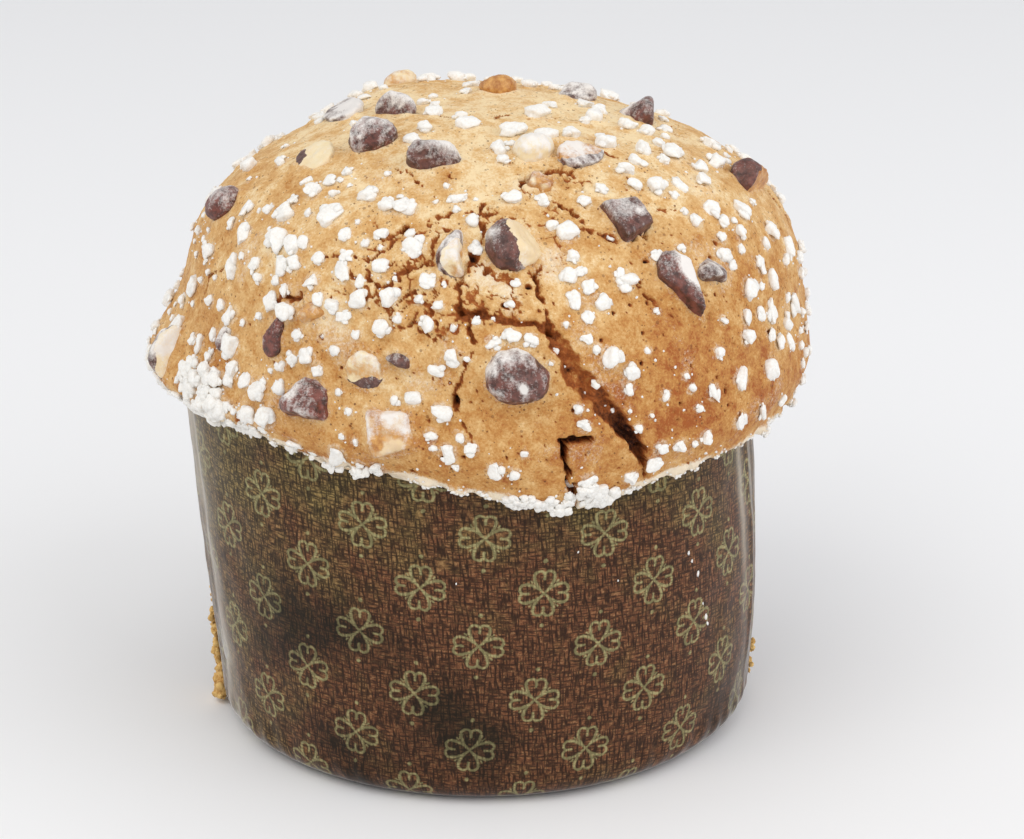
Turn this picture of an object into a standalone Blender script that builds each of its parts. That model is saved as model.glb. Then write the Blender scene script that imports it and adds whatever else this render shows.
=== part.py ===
"""A tall domed sweet loaf, baked in its paper case and topped with pieces of hazelnut.

The case stands with the centre of its base at the origin, +Z up, and the loaf's front faces -Y.
The loaf fills the case, swells over the paper's edge as a crown, and hangs down outside the paper
as an uneven rim, so the paper stands in a narrow slot. Each piece of nut sits in its own pocket
in the crust. Azimuths are degrees round the axis from the front, positive towards +X, and
elevations are degrees up from the centre of the crown's widest level.

Run it with: blender --background --python part.py
"""

import math
import random

import bmesh
import bpy
from mathutils import Matrix, Vector

MM = 0.001

# The paper case: a mould 134 mm across and 95 mm high. The rising dough has swollen its wall up to
# a level and pushed its upper part over to the left.
CASE_RADIUS = 67.0 * MM
CASE_HEIGHT = 95.0 * MM
CASE_SWELL = 3.6 * MM
CASE_SWELL_LEVEL = 60.0 * MM
CASE_LEAN = -4.5 * MM
CASE_CORNER = 6.0 * MM
PAPER = 0.8 * MM
WALL_LEVELS = [95.0 * MM, 77.0 * MM, 56.0 * MM, 34.0 * MM, 16.0 * MM]
CORNER_STEPS = 3

# The crown: a dome fuller than an ellipse, wider at the right, with a lip that flares at the left.
CROWN_LEVEL = 97.0 * MM
CROWN_HEIGHT = 60.2 * MM
CROWN_RADIUS = 77.5 * MM
CROWN_SKEW = 2.0 * MM
CROWN_FULLNESS = 2.6
CROWN_ELEVATIONS = [80, 70, 60, 51, 43, 36, 29, 22, 15, 8, 0]
# Unevenness of the crown in mm: the heights of two waves that run all over it, and its swells and
# hollows as (azimuth, elevation, reach in degrees, height).
BROAD_WAVE = 0.9
CLOSE_WAVE = 0.6
SWELLS = [(96, 16, 22, 1.6), (250, 40, 20, -1.9), (130, 47, 12, -1.4), (268, 22, 14, -0.7)]
# Where the lip flares out, most of all at the left.
LIP_FLARE = 1.5 * MM
LIP_FLARE_LEFT = 5.0 * MM
LIP_FLARE_LEVEL = 95.0 * MM
LIP_FLARE_REACH = 11.0 * MM

# The rim: how low the crust hangs outside the paper.
RIM_LEVEL = 87.5 * MM
RIM_TILT = 1.5 * MM
RIM_DIP = 8.5 * MM
RIM_RISE = 5.5 * MM
RIM_ROLL = 4.5 * MM
RIM_THICKNESS = 3.2 * MM
RIM_THINNEST = 1.4 * MM
RIM_STEPS = [0.4, 0.75, 1.0]
SLOT_MOUTH = 0.45

GAP = 0.3 * MM
SEGMENTS = 50
MERGE = 0.00001

# The cracks in the crust: (azimuth, elevation, width) along each one, and their depths.
WIDE_CRACK = [(12, 19, 2.4), (14, 15, 4.5), (16, 10, 6.0), (20, 7, 4.6), (23, 3, 3.8), (26, 0, 3.6),
              (28, -5, 2.6), (29, -9, 1.6)]
STEP_CRACK = [(18, 0, 1.6), (13, 1, 1.8), (14, -3, 1.3), (15, -7, 1.2), (16, -14, 1.6)]
WIDE_CRACK_DEPTH = 5.0 * MM
STEP_CRACK_DEPTH = 3.0 * MM
CRACK_HEADROOM = 2.0 * MM

# Planes that break a nut, as (outward direction, distance) in a nut of radius 1; x runs along the
# nut, y across it and z out of the crust.
BREAKS = {
    "whole": [],
    "chipped": [((0.85, 0.15, 0.55), 0.4)],
    "half": [((0.1, -0.15, 1.0), 0.12)],
    "split": [((0.25, -1.0, 0.2), 0.25), ((-1.0, 0.1, 0.3), 0.8)],
    "chunk": [((1.0, 0.25, 0.25), 0.62), ((-0.85, 0.5, 0.2), 0.66), ((0.1, -1.0, 0.3), 0.6),
              ((-0.1, 0.3, 1.0), 0.7), ((0.1, 1.0, 0.2), 0.75)],
    "block": [((1.0, 0.0, 0.1), 0.66), ((-1.0, 0.05, 0.1), 0.66), ((0.05, 1.0, 0.1), 0.66),
              ((0.0, -1.0, 0.1), 0.66), ((0.0, 0.05, 1.0), 0.45)],
    "shard": [((-0.45, 0.9, 0.1), 0.42), ((-0.5, -0.85, 0.2), 0.42), ((0.2, 0.15, 1.0), 0.55)],
}

# The pieces of nut that show from the front: look, shape, azimuth, elevation, length, width and
# depth in mm, spin of the length in degrees from level, and the share of the depth that is sunk.
# A dark piece has its skin all over, a pale one has lost it, and a mixed one shows both.
TOPPINGS = [
    ("pale", "whole", 203.5, 46, 10.5, 9.0, 8.0, 10, 0.35),
    ("pale", "whole", 162, 76, 10.5, 9.0, 7.0, 0, 0.35),
    ("dark", "chunk", 115.5, 66, 11.0, 9.0, 8.0, 30, 0.35),
    ("dark", "chunk", 97.5, 54.5, 14.0, 11.0, 10.5, -20, 0.35),
    ("dark", "half", -98, 59.5, 12.5, 10.5, 11.0, 20, 0.35),
    ("dark", "split", -77.5, 71, 12.5, 8.5, 8.5, 35, 0.35),
    ("dark", "whole", -46, 59, 12.5, 11.5, 10.5, 40, 0.35),
    ("dark", "chunk", -15.5, 56, 15.5, 11.0, 11.0, 10, 0.35),
    ("mixed", "half", -59.5, 49.5, 12.0, 11.0, 10.5, -15, 0.40),
    ("pale", "whole", 21, 58, 11.5, 9.0, 9.0, 15, 0.35),
    ("mixed", "half", 35, 53.5, 12.5, 10.0, 11.0, -10, 0.35),
    ("pale", "block", 17.5, 48.5, 9.0, 7.5, 6.5, -25, 0.45),
    ("mixed", "split", 80.5, 32.5, 13.5, 12.5, 10.0, -35, 0.40),
    ("dark", "block", 34, 37, 14.0, 14.5, 11.5, 8, 0.45),
    ("mixed", "chipped", 7.5, 34.5, 15.5, 14.0, 11.5, 10, 0.40),
    ("mixed", "split", -5, 33, 12.5, 9.5, 8.0, 80, 0.40),
    ("dark", "whole", -73.5, 32.5, 11.0, 9.0, 8.0, 60, 0.40),
    ("dark", "shard", 39.5, 23, 19.5, 13.5, 10.5, 108, 0.40),
    ("dark", "chunk", 47.5, 24, 10.0, 7.5, 7.0, -30, 0.40),
    ("dark", "whole", 6, 12, 15.5, 13.5, 10.5, -20, 0.45),
    ("dark", "shard", -40, 16, 13.5, 9.5, 8.0, 250, 0.45),
    ("mixed", "chunk", -32.5, 21, 8.5, 7.5, 7.0, 20, 0.45),
    ("dark", "chunk", -31.5, 5.5, 14.5, 12.5, 10.5, -10, 0.40),
    ("pale", "block", -16, 2, 16.0, 15.5, 11.0, 12, 0.50),
    ("mixed", "half", -21, 12, 10.5, 9.5, 9.5, -40, 0.45),
    ("dark", "chunk", -14.5, 14.5, 7.5, 4.0, 5.5, -25, 0.45),
    ("mixed", "split", -72.5, 4, 15.0, 12.5, 9.5, 85, 0.45),
    ("dark", "chunk", -55, 12, 8.0, 7.0, 6.0, 70, 0.45),
]

# The pieces on the far side, scattered evenly below a limit that falls off towards both sides.
FAR_TOPPINGS = 11
FAR_SPACING = 17.0 * MM
FAR_SEED = 5
FAR_AZIMUTHS = (115, 243)
FAR_ELEVATIONS = (3, 37)
FAR_LIMIT_FALL = 0.25
FAR_LENGTHS = (11.5, 15.0)
FAR_WIDTH_SHARE = 0.84
FAR_DEPTH_SHARE = 0.75
FAR_SUNK = 0.4
FAR_LOOKS = [("dark", "whole"), ("mixed", "chunk"), ("mixed", "half"), ("dark", "shard"),
             ("pale", "block"), ("mixed", "split")]

# How much a nut narrows towards its tip, how finely it is rounded, and how much larger than the nut
# its pocket is, in gaps at its nearest face.
NUT_TAPER = 0.22
NUT_RINGS = 5
NUT_SEGMENTS = 8
NUT_WELD = 0.5 * MM
POCKET_EASE = 1.2


def hump(azimuth, centre, reach):
    """A smooth bump of height 1 at one azimuth, falling off over a reach in degrees."""
    away = (azimuth - centre + 180) % 360 - 180
    return math.exp(-((away / reach) ** 2))


def wall_radius(level):
    """Outer radius of the paper wall at a level above the ground."""
    return CASE_RADIUS + CASE_SWELL * math.sin(math.pi / 2 * min(level / CASE_SWELL_LEVEL, 1))


def lean(level):
    """How far the case's axis is shifted towards +X at a level."""
    return CASE_LEAN * (level / CASE_HEIGHT) ** 2


def case_rows(inset):
    """(radius, level) rows down the paper wall and round its corner, an inset inside the paper."""
    rows = [(wall_radius(level) - inset, level) for level in WALL_LEVELS]
    centre = wall_radius(CASE_CORNER) - CASE_CORNER
    for step in range(CORNER_STEPS + 1):
        turn = math.pi / 2 * step / CORNER_STEPS
        reach = CASE_CORNER - inset
        rows.append((centre + reach * math.cos(turn), CASE_CORNER - reach * math.sin(turn)))
    return rows


def rim_level(azimuth):
    """Level of the rim's lower edge: lowest just right of the front, highest at the left."""
    tilt = RIM_TILT * math.sin(math.radians(azimuth))
    return RIM_LEVEL - tilt - RIM_DIP * hump(azimuth, 16, 19) + RIM_RISE * hump(azimuth, -55, 22)


def direction(azimuth, elevation):
    """Unit vector from the crown's centre."""
    turn, rise = math.radians(azimuth), math.radians(elevation)
    return Vector((math.sin(turn) * math.cos(rise), -math.cos(turn) * math.cos(rise), math.sin(rise)))


def unevenness(way):
    """How far the crust stands off an even dome in a direction from the crown's centre."""
    broad = math.sin(6.1 * way.x + 0.5) * math.sin(5.3 * way.y + 1.2)
    close = math.sin(9.7 * way.z + 4.0 * way.x + 2.0 * way.y)
    height = BROAD_WAVE * broad + CLOSE_WAVE * close
    for azimuth, elevation, reach, swell in SWELLS:
        away = math.degrees(way.angle(direction(azimuth, elevation)))
        height += swell * math.exp(-((away / reach) ** 2))
    return height * MM


def crust_point(azimuth, elevation):
    """Point of the crust; below the widest level it rolls in towards the rim's lower edge."""
    rise = math.radians(max(elevation, 0))
    way = direction(azimuth, max(elevation, 0))
    wide = CROWN_RADIUS + CROWN_SKEW * math.sin(math.radians(azimuth))
    reach = ((math.cos(rise) / wide) ** CROWN_FULLNESS
             + (math.sin(rise) / CROWN_HEIGHT) ** CROWN_FULLNESS) ** (-1 / CROWN_FULLNESS)
    over_flare = reach * math.sin(rise) + CROWN_LEVEL - LIP_FLARE_LEVEL
    flare = LIP_FLARE + LIP_FLARE_LEFT * hump(azimuth, -85, 35)
    reach += flare * math.exp(-((over_flare / LIP_FLARE_REACH) ** 2)) * math.cos(rise)
    reach += unevenness(way)
    point = way * reach + Vector((0, 0, CROWN_LEVEL))
    if elevation < 0:
        drop = -reach * math.tan(math.radians(elevation))
        share = min(drop / (CROWN_LEVEL - rim_level(azimuth)), 1)
        point = rim_point(azimuth, share)
    return point


def rim_point(azimuth, share):
    """Point on the outside of the rim, a share of the way from the widest level to its edge."""
    widest = crust_point(azimuth, 0)
    radius = math.hypot(widest.x, widest.y) - RIM_ROLL * share ** 2
    level = CROWN_LEVEL - share * (CROWN_LEVEL - rim_level(azimuth))
    return off_wall(azimuth, around(azimuth, radius, level), 2 * GAP + RIM_THINNEST)


def around(azimuth, radius, level):
    """Point at an azimuth, radius and level."""
    turn = math.radians(azimuth)
    return Vector((radius * math.sin(turn), -radius * math.cos(turn), level))


def in_case(azimuth, radius, level):
    """Point at an azimuth and radius round the leaning axis of the case."""
    return around(azimuth, radius, level) + Vector((lean(level), 0, 0))


def off_wall(azimuth, point, room):
    """The point, or if it is nearer to the paper wall than a room, the one that is a room off it."""
    outside = in_case(azimuth, wall_radius(point.z) + room, point.z)
    return max(point, outside, key=lambda place: math.hypot(place.x, place.y))


def crust_normal(azimuth, elevation):
    """Outward direction of the crust, from two short steps along it."""
    step = 1.5
    level = crust_point(azimuth + step, elevation) - crust_point(azimuth - step, elevation)
    up = crust_point(azimuth, elevation + step) - crust_point(azimuth, elevation - step)
    return level.cross(up).normalized()


def loaf_column(azimuth):
    """Points down one side of the loaf: crown, rim, slot for the paper, and the body inside it."""
    column = [crust_point(azimuth, elevation) for elevation in CROWN_ELEVATIONS]
    column += [rim_point(azimuth, share) for share in RIM_STEPS]
    edge = column[-1]
    inner = around(azimuth, math.hypot(edge.x, edge.y) - RIM_THICKNESS, edge.z + GAP)
    column.append(off_wall(azimuth, inner, 2 * GAP))
    mouth = edge.z + SLOT_MOUTH * (CASE_HEIGHT - edge.z)
    roof = CASE_HEIGHT + GAP
    column.append(in_case(azimuth, wall_radius(mouth) + GAP, mouth))
    column.append(in_case(azimuth, wall_radius(roof) + GAP, roof))
    rows = case_rows(PAPER + GAP)
    column.append(in_case(azimuth, rows[0][0], roof))
    column += [in_case(azimuth, radius, level) for radius, level in rows[1:]]
    return column


def mesh_object(name, bm, collection, material=None):
    """Turn a bmesh into an object in a collection."""
    bmesh.ops.recalc_face_normals(bm, faces=bm.faces[:])
    mesh = bpy.data.meshes.new(name)
    bm.to_mesh(mesh)
    bm.free()
    made = bpy.data.objects.new(name, mesh)
    collection.objects.link(made)
    if material:
        mesh.materials.append(material)
    return made


def make_loaf(collection, material):
    """The loaf: a loft through one column of points per segment, closed on the axis."""
    bm = bmesh.new()
    columns = [loaf_column(360 * step / SEGMENTS + 90) for step in range(SEGMENTS)]
    rings = [[bm.verts.new(point) for point in column] for column in columns]
    top = bm.verts.new(crust_point(0, 90))
    base_level = columns[0][-1].z
    base = bm.verts.new(in_case(0, 0, base_level))
    for ring, following in zip(rings, rings[1:] + rings[:1]):
        bm.faces.new((top, ring[0], following[0]))
        bm.faces.new((base, following[-1], ring[-1]))
        for row in range(len(ring) - 1):
            bm.faces.new((ring[row], ring[row + 1], following[row + 1], following[row]))
    loaf = mesh_object("loaf", bm, collection, material)
    loaf.data.shade_smooth()
    return loaf


def make_case(collection, material):
    """The paper case: its outer face turned from a profile, thickened inwards, then leaned."""
    bm = bmesh.new()
    rows = case_rows(0) + [(0.0, 0.0)]
    line = [bm.verts.new((radius, 0, level)) for radius, level in rows]
    for upper, lower in zip(line, line[1:]):
        bm.edges.new((upper, lower))
    mesh = bpy.data.meshes.new("case_profile")
    bm.to_mesh(mesh)
    bm.free()
    profile = bpy.data.objects.new("case_profile", mesh)
    collection.objects.link(profile)
    turned = profile.modifiers.new("turned", "SCREW")
    turned.steps = turned.render_steps = SEGMENTS
    turned.use_merge_vertices = True
    turned.merge_threshold = MERGE
    turned.use_smooth_shade = True
    paper = profile.modifiers.new("paper", "SOLIDIFY")
    paper.thickness = PAPER
    paper.offset = -1
    paper.use_even_offset = True

    bpy.context.view_layer.update()
    evaluated = profile.evaluated_get(bpy.context.evaluated_depsgraph_get())
    case = bpy.data.objects.new("paper_case", bpy.data.meshes.new_from_object(evaluated))
    for vert in case.data.vertices:
        vert.co.x += lean(vert.co.z)
    case.data.materials.append(material)
    collection.objects.link(case)
    bpy.data.objects.remove(profile)
    return case


def nut_points(shape, length, width, depth):
    """Corner points of a piece of nut: an egg shape, narrower at its tip, cut by break planes."""
    bm = bmesh.new()
    bmesh.ops.create_uvsphere(bm, u_segments=NUT_SEGMENTS, v_segments=NUT_RINGS, radius=1.0)
    bmesh.ops.rotate(bm, verts=bm.verts, matrix=Matrix.Rotation(math.pi / 2, 3, "Y"))
    for direction, distance in BREAKS[shape]:
        normal = Vector(direction).normalized()
        bmesh.ops.bisect_plane(bm, geom=bm.verts[:] + bm.edges[:] + bm.faces[:],
                               plane_co=normal * distance, plane_no=normal, clear_outer=True)
    for vert in bm.verts:
        taper = 1 - NUT_TAPER * vert.co.x
        vert.co = (vert.co.x * length / 2, vert.co.y * taper * width / 2, vert.co.z * taper * depth / 2)
    bmesh.ops.remove_doubles(bm, verts=bm.verts[:], dist=NUT_WELD)
    points = [vert.co.copy() for vert in bm.verts]
    bm.free()
    return points


def hull(points):
    """The closed convex body round a set of points."""
    bm = bmesh.new()
    for point in points:
        bm.verts.new(point)
    bmesh.ops.convex_hull(bm, input=bm.verts[:])
    loose = [vert for vert in bm.verts if not vert.link_faces]
    bmesh.ops.delete(bm, geom=loose, context="VERTS")
    bmesh.ops.dissolve_limit(bm, angle_limit=math.radians(1), verts=bm.verts[:], edges=bm.edges[:])
    return bm


def pocket_scale(bm):
    """Scale that moves every face of a convex body round the origin out by the gap or more."""
    nearest = min(abs(face.normal.dot(face.calc_center_median())) for face in bm.faces)
    return 1 + POCKET_EASE * GAP / nearest


def seat(azimuth, elevation, depth, spin, sunk):
    """Place and attitude of a piece of nut: its length along the crust, its back in the crust."""
    out = crust_normal(azimuth, elevation)
    level = Vector((math.cos(math.radians(azimuth)), math.sin(math.radians(azimuth)), 0))
    level = (level - out * level.dot(out)).normalized()
    turned = Matrix.Rotation(math.radians(spin), 3, out) @ level
    across = out.cross(turned)
    place = crust_point(azimuth, elevation) + out * depth * (0.5 - sunk)
    attitude = Matrix((turned, across, out)).transposed().to_4x4()
    return Matrix.Translation(place) @ attitude


def make_topping(number, row, collection, cutters, materials):
    """One piece of nut, with the slightly larger cutter that makes its pocket in the loaf."""
    look, shape, azimuth, elevation, length, width, depth, spin, sunk = row
    points = nut_points(shape, length * MM, width * MM, depth * MM)
    middle = sum(points, Vector()) / len(points)
    points = [point - middle for point in points]
    place = seat(azimuth, elevation, depth * MM, spin, sunk) @ Matrix.Translation(middle)

    bm = hull(points)
    grow = pocket_scale(bm)
    cutter = mesh_object(f"pocket_{number:02d}", hull([point * grow for point in points]), cutters)
    nut = mesh_object(f"hazelnut_{look}_{number:02d}", bm, collection, materials[look])
    if shape == "whole":
        nut.data.shade_smooth()
    for piece in (nut, cutter):
        piece.matrix_world = place
    cutter.hide_render = True
    cutter.display_type = "WIRE"


def far_toppings():
    """Rows for the far side: like pieces, scattered and kept clear of each other."""
    draw = random.Random(FAR_SEED)
    taken = [crust_point(row[2], row[3]) for row in TOPPINGS]
    rows = []
    while len(rows) < FAR_TOPPINGS:
        azimuth, elevation = draw.uniform(*FAR_AZIMUTHS), draw.uniform(*FAR_ELEVATIONS)
        point = crust_point(azimuth, elevation)
        too_high = elevation > FAR_ELEVATIONS[1] - FAR_LIMIT_FALL * abs(azimuth - 180)
        if too_high or min((point - other).length for other in taken) < FAR_SPACING:
            continue
        taken.append(point)
        length = draw.uniform(*FAR_LENGTHS)
        look, shape = FAR_LOOKS[len(rows) % len(FAR_LOOKS)]
        rows.append((look, shape, azimuth, elevation, length, FAR_WIDTH_SHARE * length,
                     FAR_DEPTH_SHARE * length, draw.uniform(0, 180), FAR_SUNK))
    return rows


def make_crack(name, path, depth, cutters):
    """Cutter for a crack: a wedge that follows the crust, with its point down in the crumb."""
    bm = bmesh.new()
    places = [crust_point(azimuth, elevation) for azimuth, elevation, _ in path]
    sections = []
    for index, (azimuth, elevation, width) in enumerate(path):
        before = places[max(index - 1, 0)]
        after = places[min(index + 1, len(path) - 1)]
        out = crust_normal(azimuth, elevation)
        side = (after - before).cross(out).normalized()
        half = width * MM / 2 * (1 + CRACK_HEADROOM / depth)
        high = places[index] + out * CRACK_HEADROOM
        corners = (high + side * half, high - side * half, places[index] - out * depth)
        sections.append([bm.verts.new(corner) for corner in corners])
    for one, two in zip(sections, sections[1:]):
        for corner in range(3):
            following = (corner + 1) % 3
            bm.faces.new((one[corner], one[following], two[following], two[corner]))
    bm.faces.new(sections[0])
    bm.faces.new(sections[-1])
    bmesh.ops.triangulate(bm, faces=bm.faces[:])
    cutter = mesh_object(name, bm, cutters)
    cutter.hide_render = True
    cutter.display_type = "WIRE"


def make_material(name, colour, roughness):
    """A plain surface of one colour."""
    made = bpy.data.materials.new(name)
    made.use_nodes = True
    shader = made.node_tree.nodes["Principled BSDF"]
    shader.inputs["Base Color"].default_value = (*colour, 1.0)
    shader.inputs["Roughness"].default_value = roughness
    shader.inputs["Metallic"].default_value = 0.0
    made.diffuse_color = (*colour, 1.0)
    return made


def make_collection(name):
    """A new collection in the scene."""
    made = bpy.data.collections.new(name)
    bpy.context.scene.collection.children.link(made)
    return made


def main():
    for old in list(bpy.data.objects):
        bpy.data.objects.remove(old)
    pieces, cutters = make_collection("panettone"), make_collection("cutters")
    materials = {
        "crust": make_material("crust", (0.56, 0.32, 0.13), 0.8),
        "paper": make_material("paper", (0.09, 0.05, 0.03), 0.6),
        "dark": make_material("hazelnut_skin", (0.13, 0.06, 0.045), 0.6),
        "mixed": make_material("hazelnut_part_skinned", (0.42, 0.28, 0.17), 0.6),
        "pale": make_material("hazelnut_flesh", (0.75, 0.62, 0.42), 0.6),
    }
    make_case(pieces, materials["paper"])
    loaf = make_loaf(pieces, materials["crust"])
    for number, row in enumerate(TOPPINGS + far_toppings(), start=1):
        make_topping(number, row, pieces, cutters, materials)
    make_crack("wide_crack", WIDE_CRACK, WIDE_CRACK_DEPTH, cutters)
    make_crack("step_crack", STEP_CRACK, STEP_CRACK_DEPTH, cutters)
    carve = loaf.modifiers.new("pockets", "BOOLEAN")
    carve.operation = "DIFFERENCE"
    carve.operand_type = "COLLECTION"
    carve.collection = cutters
    carve.solver = "EXACT"
    carve.use_self = True


main()
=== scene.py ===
"""The looks of a tall domed sweet loaf in its printed paper case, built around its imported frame.

The frame gives the loaf, the case and every piece of nut. Here the crust gets its cracks, pores and
glaze, the nuts their skins and broken faces, and the case its print, and pearl sugar, sugar grains
and crumbs are added. Lengths in this file are in millimetres and become metres when a mesh is made.
Azimuths are degrees round the axis from the front (-Y), positive towards +X, and elevations are
degrees up from the centre of the crown's widest level.
"""

import functools
import math
import random

import bmesh
import bpy
import numpy as np
from mathutils import Matrix, Vector


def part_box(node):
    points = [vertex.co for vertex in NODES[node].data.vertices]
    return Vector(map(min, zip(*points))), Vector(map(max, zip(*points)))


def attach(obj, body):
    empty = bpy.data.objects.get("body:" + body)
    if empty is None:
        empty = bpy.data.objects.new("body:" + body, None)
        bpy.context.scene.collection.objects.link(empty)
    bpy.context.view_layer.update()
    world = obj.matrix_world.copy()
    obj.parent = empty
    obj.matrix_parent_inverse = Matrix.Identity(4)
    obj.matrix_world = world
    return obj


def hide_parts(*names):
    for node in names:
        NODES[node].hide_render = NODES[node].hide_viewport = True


bl_info = {
    "name": "Hazelnut panettone",
    "version": (1, 0, 0),
    "blender": (4, 5, 0),
    "location": "View3D > Sidebar > Panettone",
    "description": "Builds the crust, nuts, pearl sugar and paper case of a panettone",
    "category": "Add Mesh",
}

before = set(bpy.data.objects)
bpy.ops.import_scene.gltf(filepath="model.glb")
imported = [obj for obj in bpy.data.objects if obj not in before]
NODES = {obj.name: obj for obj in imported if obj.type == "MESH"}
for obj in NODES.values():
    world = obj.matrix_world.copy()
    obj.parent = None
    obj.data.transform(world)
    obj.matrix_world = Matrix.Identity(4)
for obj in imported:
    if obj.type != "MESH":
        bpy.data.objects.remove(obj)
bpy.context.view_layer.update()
MM = 0.001

# Sizes of the loaf and its case. They repeat the frame's own form, all but the case's corner and the
# rim's dip, which are set here to suit the finer surface.
CASE_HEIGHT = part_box("paper_case")[1].z / MM
CASE_RADIUS = 67.0
CASE_SWELL = 3.6
CASE_SWELL_LEVEL = 60.0
CASE_LEAN = -4.5
CASE_CORNER = 8.5
PAPER = 0.8
GAP = 0.3
CROWN_LEVEL = CASE_HEIGHT + 2.0
CROWN_HEIGHT = 60.2
CROWN_RADIUS = 77.5
CROWN_SKEW = 2.0
CROWN_FULLNESS = 2.6
BROAD_WAVE = 0.9
CLOSE_WAVE = 0.6
SWELLS = [(96, 16, 22, 1.6), (250, 40, 20, -1.9), (130, 47, 12, -1.4), (268, 22, 14, -0.7)]
LIP_FLARE = 1.5
LIP_FLARE_LEFT = 5.0
LIP_FLARE_LEVEL = CASE_HEIGHT
LIP_FLARE_REACH = 11.0
RIM_LEVEL = 87.5
RIM_TILT = 1.5
RIM_DIP = 7.0
RIM_RISE = 5.5
RIM_ROLL = 4.5
RIM_THICKNESS = 3.2
RIM_THINNEST = 1.4

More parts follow.
